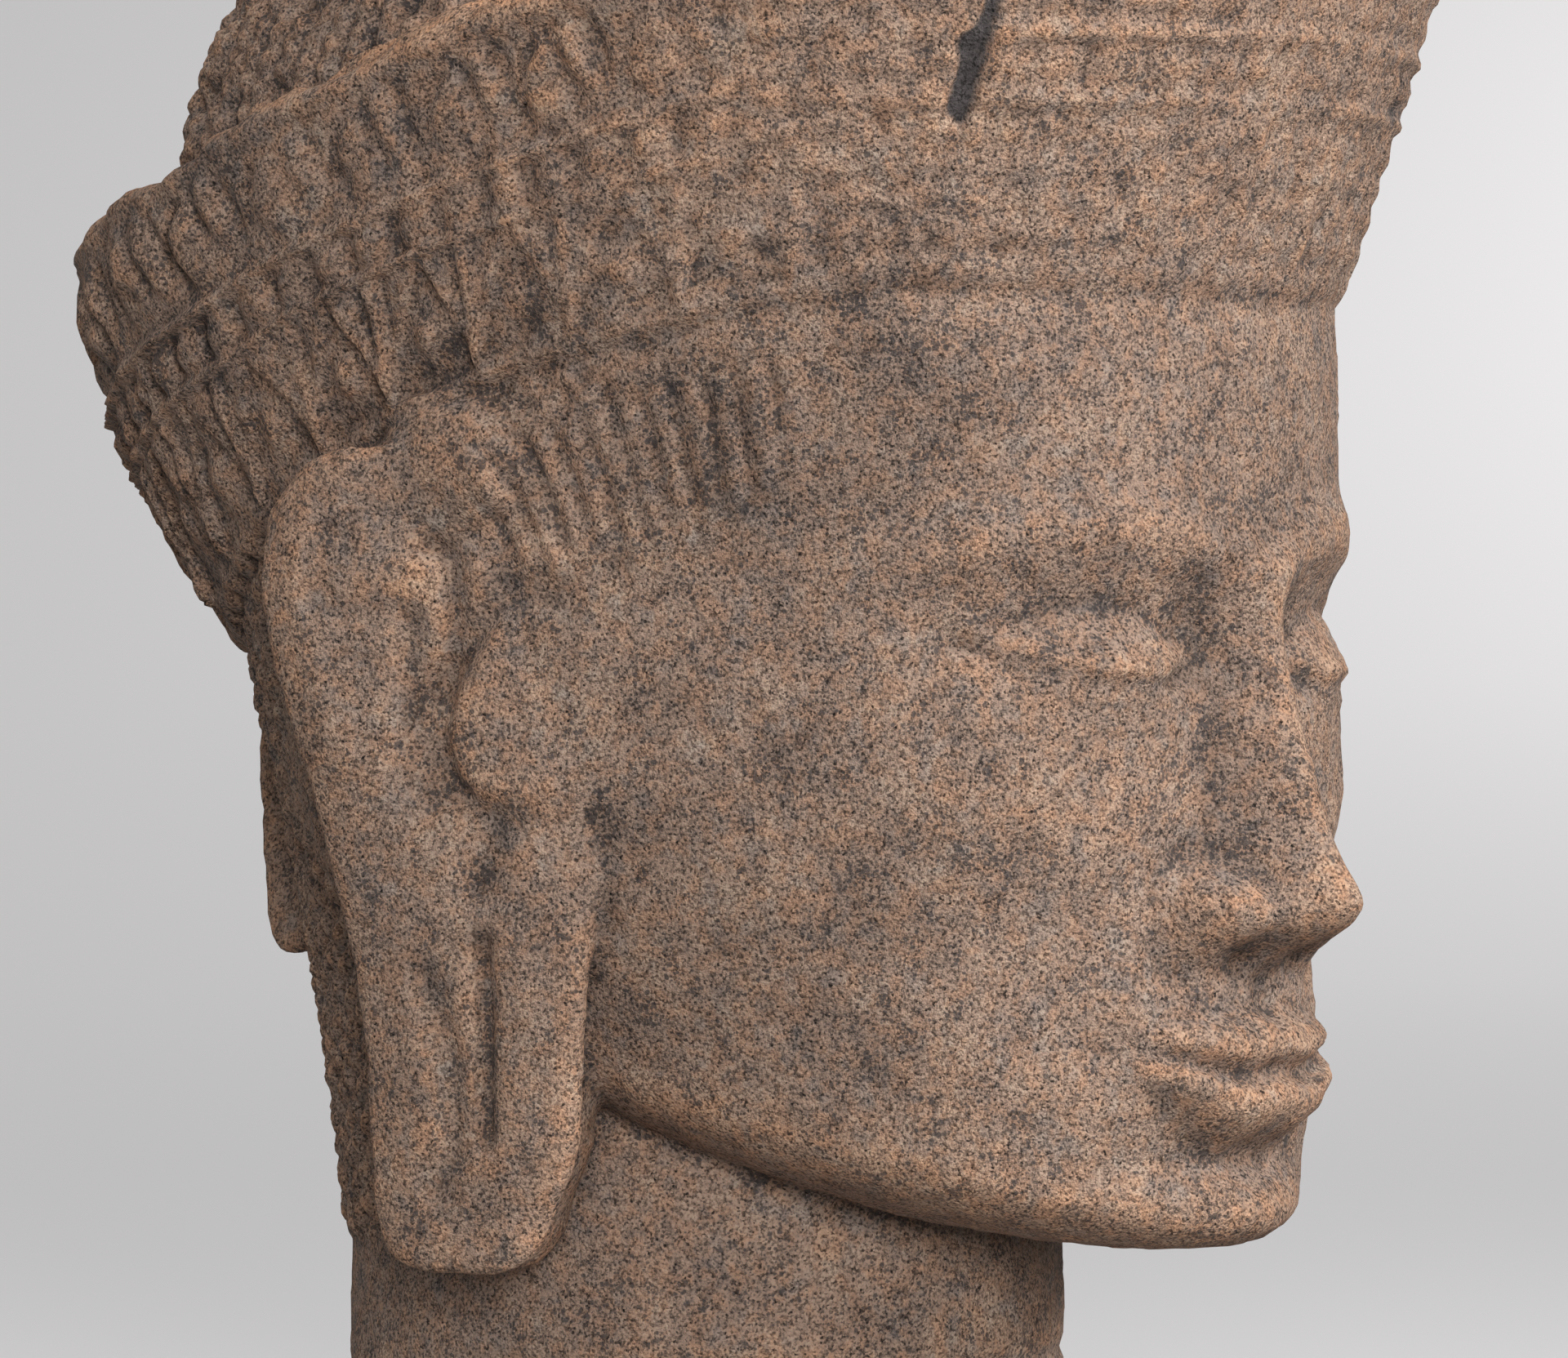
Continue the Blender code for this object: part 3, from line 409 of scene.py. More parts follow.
def diademRadius(angle, share):
    # outer face of the band; share runs from 0 at its lower edge to 1 at its upper edge
    lower, _ = diademEdges(angle)
    foot = skullRadius(angle, lower) + diadem["proud"]
    brim = ovalRadius(angle, *diadem["brim"], np.where(np.cos(angle) > 0, 2.3, 2.05))
    behind = ramp(np.abs(np.degrees(angle)), 60, 140)
    belly = throughKnots((0.0, 0.4, 0.78, 0.93, 1.0), (0.0, 7.2, 10.0, 6.4, 1.0), share) * behind
    return foot + (brim - foot) * share + belly


def polarRing(angle, radius, height):
    return np.stack([radius * np.sin(angle), -headForm["forward"] - radius * np.cos(angle), height], axis=1)


def makeDiadem(columns, steps):
    angle = np.linspace(-math.pi, math.pi, columns, endpoint=False)
    lower, upper = diademEdges(angle)
    wall = diadem["wall"]
    rings = [polarRing(angle, skullRadius(angle, lower) - 9.0, lower + 1.0)]
    for share in np.linspace(0.0, 1.0, steps):
        rings.append(polarRing(angle, diademRadius(angle, share), lower + (upper - lower) * share))
    brim = diademRadius(angle, 1.0)
    trough = np.maximum(upper - 20.0, headForm["crownBase"] - 4.0)
    dome = skullRadius(angle, trough)
    rings.append(polarRing(angle, brim - 0.30 * wall, upper + 2.0))
    rings.append(polarRing(angle, brim - 0.75 * wall, upper + 2.8))
    inner = np.maximum(brim - wall - 3.0, dome + 0.5)
    rings.append(polarRing(angle, inner, np.maximum(upper - 5.0, trough)))
    rings.append(polarRing(angle, (inner + dome) / 2, trough + 1.0))
    rings.append(polarRing(angle, dome - 8.0, trough))
    return loftRings("diademForm", rings, endToEnd=True)


def diademPlace(x, y, z):
    # angle, share of the band's height and distance from the skull's axis
    dy = y + headForm["forward"]
    angle = np.arctan2(x, -dy)
    lower, upper = diademEdges(angle)
    return angle, (z - lower) / (upper - lower), np.hypot(x, dy)


def petalRow(arc, up, side):
    # a curled leaf and its stem, over and over, on both sides curling to the front
    pitch = diadem["curledLeaf"]
    place = arc / pitch * -side + 0.08 * np.sin(arc / 23.0)
    number = np.floor(place)
    chance, other = anyOf(number, 0, 2), anyOf(number, 1, 3)
    p = (place - number - 0.5) * pitch + 1.6 * (chance - 0.5)
    q = up * diadem["curledTall"] + 1.4 * (other - 0.5)
    out = 1.5 * np.exp(-((((p + 3.2) / 5.0) ** 2 + ((q - 8.0) / 6.5) ** 2) ** 1.5)) - 0.3
    out -= 2.0 * taperedGroove(p, q, ((-3.6, 15.2), (-8.4, 11.5), (-9.0, 6.5), (-5.0, 1.8)), 1.25)
    out -= 2.0 * taperedGroove(p, q, ((-2.8, 15.5), (-1.2, 10.5), (2.6, 3.8)), 1.2)
    out += 1.3 * taperedGroove(p, q, ((0.6, 16.5), (2.4, 10.5), (6.0, 3.0)), 1.3)
    out -= 1.9 * taperedGroove(p, q, ((3.4, 16.0), (6.0, 10.5), (8.0, 4.5)), 1.2)
    out -= 0.9 * mound(p, q, (-3.0, 6.0 + 3.0 * other), (1.5, 1.2))
    ends = ramp(up, 0.0, 0.12) * (1 - ramp(up, 0.9, 1.02))
    return out * ends * (0.55 + 0.6 * chance)


def diademRelief(x, y, z, wander):
    angle, share, radius = diademPlace(x, y, z)
    outer = diademRadius(angle, np.clip(share, 0.0, 1.0))
    onBand = ramp(share, -0.01, 0.03) * (1 - ramp(share, 0.97, 1.0)) * ramp(radius - outer, -7.0, -4.0)
    near = onBand > 0.01
    angle, share, z, wander = angle[near], share[near], z[near], wander[:, near]
    turn = np.abs(np.degrees(angle))
    crisp = diadem["wornFront"] + (1 - diadem["wornFront"]) * ramp(turn, 46, 80)
    arc = angle * diadem["arcRadius"] + 0.9 * wander[0]
    side = np.sign(angle)
    share = share + 0.006 * wander[0]
    rubbed = 0.6 + 0.5 * ramp(wander[1], -0.45, 0.35)
    # two fillets and the roll at the lower edge
    out = 2.0 * swell(share, 0.405, 0.015) + 2.1 * swell(share, 0.552, 0.016)
    out += 0.9 * (1 - 0.6 * ramp(60 - turn, 0, 25)) * swell(share, 0.03, 0.024)
    # hanging leaves with a raised edge and a rib, and a drop between two of them
    pitch = diadem["hangingLeaf"]
    leaf = np.abs((arc / pitch) % 1.0 - 0.5) * 2.0
    reach = (share - 0.05) / 0.34
    inLeaves = ramp(share, 0.04, 0.06) * (1 - ramp(share, 0.37, 0.39))
    curve = leaf + 0.10 * np.sin(np.pi * np.clip(reach, 0, 1))
    out += inLeaves * (1.3 * swell(reach - curve, 0.05, 0.08) + 0.8 * ramp(reach - curve, 0.0, 0.2))
    out += inLeaves * (0.8 * swell(leaf, 0.0, 0.11) - 0.8 * swell(leaf, 0.24, 0.08) * (reach > leaf + 0.15))
    apart = ((leaf - 1.0) * pitch / 2) ** 2 + ((reach - 0.40) * 20.0) ** 2
    out += inLeaves * 1.6 * np.exp(-((apart / 2.5**2) ** 1.5))
    # drilled beads between the fillets
    bead = ((arc / diadem["bead"]) % 1.0 - 0.5) * diadem["bead"]
    rise = (share - diadem["beadRow"]) * diadem["tall"]
    apart = bead**2 + rise**2
    out += 2.1 * np.exp(-((apart / 3.1**2) ** 1.6)) - swell(np.abs(bead), 4.3, 0.9) * swell(rise, 0, 3.2)
    out -= 0.9 * np.exp(-apart)
    # curled leaves under the brim, and the plain brim
    foot = diadem["curledFoot"]
    inRow = ramp(share, foot, 0.58) * (1 - ramp(share, 0.865, 0.89))
    out += inRow * petalRow(arc, (share - foot) / diadem["curledRise"], side)
    out = 1.25 * out * rubbed + 1.2 * ramp(share, 0.875, 0.90)
    out += 0.8 * lumps(np.stack([x[near], y[near], z], 1), 4.6, 8)
    # at the worn front only low rows of beads and the drilled hollows stay
    worn = 1 - ramp(turn, 46, 70)
    rows = 0.20 * np.cos(2 * np.pi * z / 5.1)
    rows += 0.20 * np.cos(2 * np.pi * arc / 5.6) * np.cos(2 * np.pi * z / 10.2)
    wide, tall = diadem["hollows"]
    i, j = np.floor(arc / wide), np.floor(z / tall)
    p = arc / wide - i - 0.5 + 0.34 * (anyOf(i, j, 4) - 0.5)
    q = z / tall - j - 0.5 + 0.34 * (anyOf(i, j, 5) - 0.5)
    size = 1.2 + 0.9 * anyOf(i, j, 6)
    hollow = np.exp(-((p * wide) ** 2 + (q * tall) ** 2) / size**2)
    depth = 0.2 + 0.9 * anyOf(i, j, 7)
    plain = (share > 0.05) * (share < 0.92)
    full = np.zeros_like(x)
    full[near] = out * crisp + worn * plain * (rows - depth * hollow)
    return full * onBand


def crackMask(x, y, z):
    # 1 in the break of the diadem's front, 0 outside it
    angle, _, _ = diademPlace(x, y, z)
    across = np.radians(np.degrees(angle) - crackFill["turn"]) * crackFill["radius"]
    left = throughKnots(crackFill["height"], crackFill["left"], z)
    right = throughKnots(crackFill["height"], crackFill["right"], z)
    inside = np.minimum(across - left, right - across)
    foot = crackFill["height"][0]
    return ramp(inside, -0.5, 0.5) * ramp(z, foot - 0.5, foot + 1.5) * (y < -40)


# The braided hair and the topknot.
braids = {
    "aroundCrown": 84,      # how many braids go once around
    "aroundNape": 84,
    "aroundTopknot": 26,
    "link": 5.0,            # length of one link of a plait
    "crownArc": 84.0,       # radius that turns the dome's angle into a length
    "petals": 12,           # on the knob of the topknot
}

topknot = {
    # radius and height, from the foot to the tip
    "profile": ((34, 296), (34.5, 304), (37, 306.5), (37, 311), (33.5, 313), (31.5, 329), (33.5, 331.5),
                (33.5, 336.5), (29.5, 338.5), (26, 346), (17, 353.5), (8, 357.2), (0, 358)),
    "drum": (313, 330),     # plaited between these heights
    "knob": (338, 357),
    "setback": 2.0,
}


def makeTopknot(columns):
    turn = np.linspace(-math.pi, math.pi, columns, endpoint=False)
    rings = []
    for radius, z in roundedLine(topknot["profile"], 60):
        radius = max(radius, 0.05)
        rings.append(np.stack([radius * np.sin(turn), topknot["setback"] - radius * np.cos(turn),
                               np.full_like(turn, z)], axis=1))
    return loftRings("topknotForm", rings)


def plaited(around, up, count, step, wander):
    # braids side by side, each a chain of slanting links
    turn = around * count / (2 * math.pi) + 0.10 * wander
    number = np.floor(turn)
    across = (turn % 1.0 - 0.5) * 2.0
    braid = 1 - np.abs(across) ** 2.2
    shift = 0.5 * (number % 2) + 0.30 * across * (1 - 2 * (number % 2)) + 0.3 * anyOf(number, 0, 8)
    link = np.abs(np.sin(np.pi * (up / step + shift))) ** 0.7
    size = 0.8 + 0.45 * anyOf(number, np.floor(up / step + shift), 11)
    return size * (1.4 * (braid - 0.55) + 1.5 * (link - 0.62) * braid)


def hairRelief(x, y, z, wander):
    angle, share, radius = diademPlace(x, y, z)
    base, height = headForm["crownBase"], headForm["crownRise"]
    rise = np.clip((z - base) / height, 0.0, 1.0)
    inside = diademRadius(angle, 1.0) - 12.0 - radius
    onCrown = ramp(z, base, base + 6) * ramp(share, 0.9, 1.02) * (1 - ramp(rise, 0.80, 0.84))
    onCrown = onCrown * ramp(inside, -6.0, 0.0)
    up = np.arcsin(rise) * braids["crownArc"]
    out = onCrown * plaited(angle, up, braids["aroundCrown"], braids["link"], wander)
    spin = np.arctan2(x, -(y - topknot["setback"]))
    foot, top = topknot["drum"]
    onDrum = ramp(z, foot, foot + 2) * (1 - ramp(z, top - 2, top))
    out += onDrum * plaited(spin, z, braids["aroundTopknot"], braids["link"], wander)
    foot, top = topknot["knob"]
    petal = np.abs(np.cos(spin * braids["petals"] / 2.0))
    out += ramp(z, foot, foot + 2) * (1 - ramp(z, top - 5, top)) * 1.6 * (petal - 0.6)
    # nape, and the pleats of the hanging tails
    angle = np.arctan2(x, -y)
    turn = np.abs(np.degrees(angle))
    lower, _ = diademEdges(angle)
    proud = np.hypot(x, y) - napeRadius(angle, z)
    onNape = ramp(turn, 100, 106) * ramp(z, 64, 68) * (1 - ramp(z, lower - 3, lower))
    onHead = (1 - ramp(proud, 2.0, 4.0)) * plaited(angle, z, braids["aroundNape"], braids["link"], wander)
    top, foot = tie["tailTop"], tie["tailFoot"]
    spread = 1.0 + 0.9 * (top - z) / (top - foot)
    pleats = ramp(proud, 3.0, 5.0) * np.cos(2 * math.pi * np.abs(x) / (3.6 * spread)) * (z < top - 2)
    return out + onNape * (onHead + 0.7 * pleats)


# The hair at the temples, below the diadem.
temple = {
    "lockTurn": 3.35,       # degrees from one lock to the next
    # degrees from the front, then heights of the locks and the hairline, and how far a lock leans
    "turn": (44, 48, 55, 60, 67, 71, 76, 83, 90),
    "locksTop": (206, 205, 202.5, 201, 198, 196.5, 194, 190.5, 187),
    "locksFoot": (188, 186, 183, 180.5, 177, 176, 175, 173.5, 172),
    "hairline": (215, 188, 183, 177, 165, 160, 154, 150, 148),
    "lean": (0.4, 1.0, 1.6, 2.2, 3.2, 3.8, 4.6, 5.4, 5.8),
}


def templeRelief(x, y, z, wander):
    # a row of locks, and a border of small curls above them
    turn = np.degrees(np.abs(np.arctan2(x, -(y + headForm["forward"]))))
    lower, _ = diademEdges(np.radians(turn))
    at = {k: throughKnots(temple["turn"], temple[k], turn)
          for k in ("locksTop", "locksFoot", "hairline", "lean")}
    reach = ramp(turn, 46.0, 56.0) * (1 - ramp(turn, 82, 86)) * (np.abs(x) < 90)
    reach = reach * np.where(z < 172, ramp(-y, 29, 34), 1.0)
    onHair = reach * ramp(z, at["hairline"] - 1.2, at["hairline"] + 1.2) * (1 - ramp(z, lower - 2, lower))
    root = turn + at["lean"] * (at["locksTop"] - z) / 16.0 + 0.25 * wander
    number = np.floor(root / temple["lockTurn"] + 0.5)
    across = np.abs(root / temple["lockTurn"] - number)  # 0 on a lock, half way to the next at 0.5
    lock = 1.0 - 2.0 * swell(across, 0.5, 0.19)
    foot = at["locksFoot"] - 1.5 * lock + 5.0 * (anyOf(number, 0, 9) - 0.5)
    onLocks = ramp(z, foot - 2.0, foot + 4.0) * (1 - ramp(z, at["locksTop"], at["locksTop"] + 2.0))
    border = ramp(z, at["locksTop"] + 1.0, at["locksTop"] + 3.0)
    curls = np.cos(2 * math.pi * turn / 4.6) * np.cos(2 * math.pi * (z + 0.2 * turn) / 7.5)
    curls = curls * ramp(turn, 64, 72)
    deep = 0.45 + 0.5 * anyOf(number, 1, 10)
    return onHair * (0.5 + onLocks * (0.3 + deep * lock) + border * (0.7 + 0.8 * curls))


# The long ears.
ear = {
    # heights, then where the back and the front edge stand on the head's left
    "height": (63, 64.5, 68, 74, 84, 97, 110, 122, 135, 147, 160, 170, 180, 186, 190, 192.5),
    "backX": (82, 83.5, 84.6, 85.6, 86.4, 87.5, 89, 91, 93, 95.2, 97, 97.8, 97, 95.5, 94, 92),
    "backY": (-4, 0.5, 3.8, 4.6, 4.8, 4.9, 6, 8, 10.2, 12.8, 15.8, 17.8, 17.8, 15, 10.5, 3.5),
    "frontX": (80, 79.5, 79, 78.3, 78, 78.5, 78.2, 77, 76, 76, 77.5, 82.5, 84.5, 85.3, 86.5, 89.5),
    "frontY": (-16, -19.5, -22.5, -25, -29, -30, -31, -33, -35, -34, -29, -21.5, -18.6, -15.5, -11, -4),
    "thickness": ((63, 66, 72, 100, 140, 175, 186, 190, 192.5), (3, 6.5, 8.5, 9, 10.5, 11, 9, 6, 3)),
    "hairAbove": ((81.0, -9.0, 190.0), (8, 13, 12)),  # place and radii
    # edge of the knob before the ear's opening, by distance behind the axis and height
    "opening": ((-20.3, 133.5), (-15.8, 136.6), (-12.6, 141), (-11.1, 146.8), (-11.9, 152.5), (-14.6, 158.8),
                (-17.8, 165), (-20.2, 169.6)),
    "knobRise": 1.7,
    "openingDepth": 2.8,
    # carved lines: points likewise, then width and depth
    "carving": (
        (((-0.5, 182.3), (-6.2, 180.8), (-9.5, 177)), 2.2, -0.8),
        (((-9.5, 177), (-12.0, 174), (-12.2, 166), (-11.5, 159), (-9.3, 154.5)), 1.9, -2.5),
        (((-6.3, 165.5), (-5.4, 158), (-5.7, 150.6)), 2.0, -1.5),
        (((9.0, 167.5), (2.0, 166.2), (-4.0, 166.8)), 2.0, -0.6),
        (((-9.0, 157), (-7.0, 148), (-9.0, 138)), 4.5, -1.6),
        (((-18.3, 133.5), (-16.6, 128.4), (-15.4, 124)), 3.2, -1.5),
        (((-15.5, 115.5), (-15.9, 105.5), (-15.6, 95.4), (-15.2, 84.5)), 1.5, -3.2),
        (((-6.2, 110), (-8.7, 101.7), (-10.2, 92.8), (-10.3, 83.9), (-7.2, 76.8)), 2.4, -1.7),
        (((4, 190), (11, 184), (12.5, 174), (10, 160), (6, 145)), 3.0, 0.8),
    ),
}


def makeEar(side, rows, columns, shrink=0.0, inset=0.0, deeper=0.0):
    # a rounded slab from the back to the front edge, thickened towards the head
    heights = ear["height"]
    turn = np.linspace(0, 2 * math.pi, columns, endpoint=False)
    rings = []
    for share in np.linspace(0.0, 1.0, rows):
        level = heights[0] + (heights[-1] - heights[0]) * (0.5 - 0.5 * math.cos(math.pi * share))
        at = {k: float(throughKnots(heights, ear[k], np.array(level)))
              for k in ("backX", "backY", "frontX", "frontY")}
        centre = np.array([at["backX"] + at["frontX"], at["backY"] + at["frontY"]]) / 2
        run = np.array([at["backX"] - at["frontX"], at["backY"] - at["frontY"]]) / 2
        half = max(np.hypot(*run) - shrink, 1.0)
        along = run / np.hypot(*run)
        inward = np.array([-along[1], along[0]])
        inward = inward if inward[0] < 0 else -inward
        depth = float(throughKnots(*ear["thickness"], np.array(level))) + deeper
        across = half * np.sign(np.cos(turn)) * np.abs(np.cos(turn)) ** 0.95
        deep = depth / 2 * (1 + np.sign(np.sin(turn)) * np.abs(np.sin(turn)) ** 0.8) + inset
        x = centre[0] + across * along[0] + deep * inward[0]
        y = centre[1] + across * along[1] + deep * inward[1]
        rings.append(np.stack([side * x, y, np.full_like(x, level)], axis=1))
    return loftRings("earForm", rings)


def makeEars():
    forms = []
    for side in (-1, 1):
        forms.append(makeEar(side, 110, 90))
        forms.append(makeEar(side, 90, 60, shrink=3.0, inset=4.0, deeper=14.0))  # the stone left behind it
        (x, y, z), radii = ear["hairAbove"]
        forms.append(makeEllipsoid("hairForm", (side * x, y, z), radii, 0.0))
    return forms


def earOpening(y, z):
    # a step: raised in front of the edge, hollow behind it
    edge = np.array(ear["opening"])
    gap, _ = lineDistance(y, z, roundedLine(ear["opening"]))
    inFront = np.interp(z, edge[:, 1], edge[:, 0]) - y
    ends = ramp(z, edge[0, 1] - 1, edge[0, 1] + 6) * (1 - ramp(z, edge[-1, 1] - 9, edge[-1, 1] + 1))
    step = 0.5 + 0.5 * np.tanh(np.where(inFront > 0, gap, -gap) / 0.9)
    hollow = ear["openingDepth"] * (1 - step) * np.exp(-gap / 3.2)
    filled = 2.0 * mound(y, z, (-27, 150), (9, 17)) + 1.6 * mound(y, z, (-25, 173), (7, 7))
    return ends * (ear["knobRise"] * step * np.exp(-gap / 18.0) - hollow) + filled


def earRelief(x, y, z):
    near = (np.abs(x) > 70) & (z > 56) & (z < 196) & (y > -60) & (y < 22)
    out = np.zeros_like(x)
    out[near] = earOpening(y[near], z[near])
    for points, width, depth in ear["carving"]:
        out[near] += depth * grooved(y[near], z[near], points, width)
    return out


# The tie of the diadem behind.
tie = {
    "knot": ((0, 82, 164), (11, 8, 9)),         # place and radii
    "bow": ((15, 78, 167), (13, 8, 7), 0.3),    # place, radii and roll, one on each side
    "tailTop": 160.0,
    "tailFoot": 111.5,
}


def makeEllipsoid(name, centre, radii, roll):
    build = bmesh.new()
    bmesh.ops.create_uvsphere(build, u_segments=36, v_segments=24, radius=1.0)
    bmesh.ops.scale(build, vec=[r * mm for r in radii], verts=build.verts)
    mesh = bpy.data.meshes.new(name)
    build.to_mesh(mesh)
    build.free()
    obj = addObject(name, mesh)
    obj.location = [c * mm for c in centre]
    obj.rotation_euler.y = roll
    return obj


def makeTail(side):
    top, foot = tie["tailTop"], tie["tailFoot"]
    turn = np.linspace(0, 2 * math.pi, 48, endpoint=False)
    rings = []
    for level in np.linspace(top, foot, 30):
        share = (top - level) / (top - foot)
        end = math.sqrt(1 - ramp(share, 0.82, 1.06) ** 2)  # rounded at the foot
        half, centre = (7.0 + 6.5 * share) * (0.75 + 0.25 * end), side * (6.5 + 11.0 * share)
        back = float(throughKnots(napeHair["height"], napeHair["back"], np.array(level)))
        x = centre + half * np.sign(np.cos(turn)) * np.abs(np.cos(turn)) ** 0.5
        thick = 8.5 * np.sign(np.sin(turn)) * np.abs(np.sin(turn)) ** 0.5
        y = back + 4.8 - 4.0 * share - 0.005 * x**2 + thick * (0.5 + 0.5 * end)
        rings.append(np.stack([x, y, np.full_like(x, level)], axis=1))
    return loftRings("tailForm", rings)


def makeTie():
    forms = [makeEllipsoid("knotForm", *tie["knot"], 0.0)]
    (x, y, z), radii, roll = tie["bow"]
    for side in (-1, 1):
        forms.append(makeEllipsoid("bowForm", (side * x, y, z), radii, -roll * side))
        forms.append(makeTail(side))
    return forms


# Wear and weather over the whole stone.
weather = {
    "broad": (24.0, 0.45),      # size and height of the hand-carved unevenness
    "middle": (7.0, 0.22),
    "fine": (2.3, 0.22),
    "pits": (5.5, 0.55),        # scattered small hollows, and finer ones
    "finePits": (2.6, 0.35),
    "brim": (7.0, 2.4),         # the edge of the diadem is knocked and rubbed
}


def weatherRelief(points):
    out = np.zeros(len(points))
    for n, key in enumerate(("broad", "middle", "fine")):
        size, height = weather[key]
        out += height * lumps(points, size, n)
    size, depth = weather["pits"]
    out -= depth * ramp(lumps(points, size, 5), 0.52, 0.95)
    size, depth = weather["finePits"]
    out -= depth * ramp(lumps(points, size, 6), 0.55, 0.95)
    size, depth = weather["brim"]
    _, share, _ = diademPlace(*points.T)
    knocked = depth * ramp(lumps(points, size, 7), -0.1, 0.7) * ramp(share, 0.88, 0.98)
    return out - (knocked + 1.6 * ramp(share, 0.91, 0.99)) * (points[:, 2] < 296)


def readVectors(mesh, name):
    values = np.empty(len(mesh.vertices) * 3, np.float32)
    mesh.vertices.foreach_get(name, values)
    return values.reshape(-1, 3).astype(float)


def carvedRelief(points, normals):
    # all that the carver cut, in millimetres out of the plain form
    x, y, z = points.T
    wander = np.stack([lumps(points, 14.0, 9), lumps(points, 26.0, 10)])
    out = diademRelief(x, y, z, wander) + hairRelief(x, y, z, wander[0]) + templeRelief(x, y, z, wander[0])
    for fold in neck["folds"]:
        out -= 0.9 * swell(z, fold + 0.8 * wander[0], 1.6) * ramp(-y, -10, 20) * (z < headForm["chin"] - 2)
    out += earRelief(x, y, z) * ramp(np.sign(x) * normals[:, 0], 0.2, 0.6)
    return out - crackFill["depth"] * crackMask(x, y, z)


def carveStone(mesh):
    points = readVectors(mesh, "co") / mm
    normals = readVectors(mesh, "normal")
    out = carvedRelief(points, normals) + weatherRelief(points)
    points += normals * out[:, None]
    mesh.vertices.foreach_set("co", (points * mm).astype(np.float32).ravel())
    mesh.update()


def joinForms(name, forms):
    # one mesh of all the forms, which still pass through one another
    depsgraph = bpy.context.evaluated_depsgraph_get()
    whole = bmesh.new()
    for form in forms:
        part = form.evaluated_get(depsgraph).to_mesh()
        part.transform(form.matrix_world)
        whole.from_mesh(part)
        form.evaluated_get(depsgraph).to_mesh_clear()
    mesh = bpy.data.meshes.new(name)
    whole.to_mesh(mesh)
    whole.free()
    for form in forms:
        bpy.data.objects.remove(form)
    return addObject(name, mesh)


def applyModifiers(obj):
    depsgraph = bpy.context.evaluated_depsgraph_get()
    mesh = bpy.data.meshes.new_from_object(obj.evaluated_get(depsgraph))
    obj.modifiers.clear()
    obj.data = mesh


def cutFoot(mesh):
    build = bmesh.new()
    build.from_mesh(mesh)
    everything = build.verts[:] + build.edges[:] + build.faces[:]
    cut = bmesh.ops.bisect_plane(build, geom=everything, plane_co=(0, 0, 0), plane_no=(0, 0, 1),
                                 clear_inner=True)
    edges = [e for e in cut["geom_cut"] if isinstance(e, bmesh.types.BMEdge)]
    bmesh.ops.holes_fill(build, edges=edges)
    bmesh.ops.triangulate(build, faces=[f for f in build.faces if len(f.verts) > 4])
    build.to_mesh(mesh)
    build.free()


def standsProud(mesh, passes):
    # how far each point stands out of its smoothed surroundings, in millimetres
    count = len(mesh.vertices)
    edges = np.empty(len(mesh.edges) * 2, np.int32)
    mesh.edges.foreach_get("vertices", edges)
    a, b = edges.reshape(-1, 2).T
    points = readVectors(mesh, "co") / mm
    normals = readVectors(mesh, "normal")
    degree = np.bincount(a, minlength=count) + np.bincount(b, minlength=count)
    smooth = points.copy()
    for _ in range(passes):
        total = np.stack([np.bincount(a, smooth[b, k], count) + np.bincount(b, smooth[a, k], count)
                          for k in range(3)], axis=1)
        smooth = 0.4 * smooth + 0.6 * total / degree[:, None]
    return ((points - smooth) * normals).sum(axis=1)


def addMask(mesh, name, values):
    layer = mesh.attributes.new(name, "FLOAT", "POINT")
    layer.data.foreach_set("value", values.astype(np.float32))


def makeStone():
    forms = [makeHead(420, 220), makeNeck(200), makeNape(240), makeDiadem(420, 30), makeTopknot(120)]
    forms += makeEars() + makeTie()
    bpy.context.view_layer.update()
    print("plain forms built")
    stone = joinForms("carvedStone", forms)
    skin = stone.modifiers.new("one skin", "REMESH")
    skin.mode = "VOXEL"
    skin.voxel_size = stoneMesh["voxel"] * mm
    soften = stone.modifiers.new("soften", "SMOOTH")
    soften.factor = 0.5
    soften.iterations = stoneMesh["softening"]
    applyModifiers(stone)
    print("one skin with", len(stone.data.polygons), "faces")
    carveStone(stone.data)
    print("carving and wear done")
    thin = stone.modifiers.new("fewer faces", "DECIMATE")
    thin.ratio = min(1.0, stoneMesh["triangles"] / (2.0 * len(stone.data.polygons)))
    applyModifiers(stone)
    cutFoot(stone.data)
    mesh = stone.data
    points = readVectors(mesh, "co") / mm
    addMask(mesh, "proud", standsProud(mesh, 14))
    addMask(mesh, "crackFill", crackMask(*points.T))
    addMask(mesh, "patinaAndPaintedShade", paintedLightAndPatinaMask(points))
    mesh.shade_smooth()
    print("stone thinned to", len(mesh.polygons), "faces")
    return stone


# The stone's look.
sandstone = {
    # how fine each pattern is, in cells per metre
    "grain": 2500.0,
    "speck": 1700.0,
    "clump": 430.0,
    "orangePatch": 330.0,
    "greyPatch": 190.0,
    "crowd": 160.0,                     # where black specks crowd together
    "patch": 70.0,
    "stain": 26.0,
    "blackSpeck": (1000.0, 1650.0),     # large ones and small ones
    "meanTone": 0.56,
    "blackSpecks": (0.070, 0.062, 0.062),
    "darkGrains": (0.120, 0.088, 0.075),
    "greyGrains": (0.200, 0.146, 0.119),
    "tanGrains": (0.297, 0.207, 0.159),
    "warmGrains": (0.366, 0.248, 0.185),
    "paleGrains": (0.440, 0.318, 0.240),
    "greyPatches": (0.88, 0.96, 1.04),  # the next four times the stone's own colour
    "orangePatches": (1.09, 0.98, 0.89),
    "patinaAndPaintedShade": (0.40, 0.41, 0.43),
    # pale of rubbed edges, and the painted highlight on the rim and the upper diadem
    "rubbed": (1.40, 1.24, 1.08),
    "crackFill": (0.080, 0.070, 0.068),
    # how dark the hollows get: dirt, and painted shade where shade falls in them
    "hollowDirtAndShade": 0.50,
    "stainDirt": 0.22,
    "bump": 0.85,
    "bumpDistance": 0.0005,             # metres
}


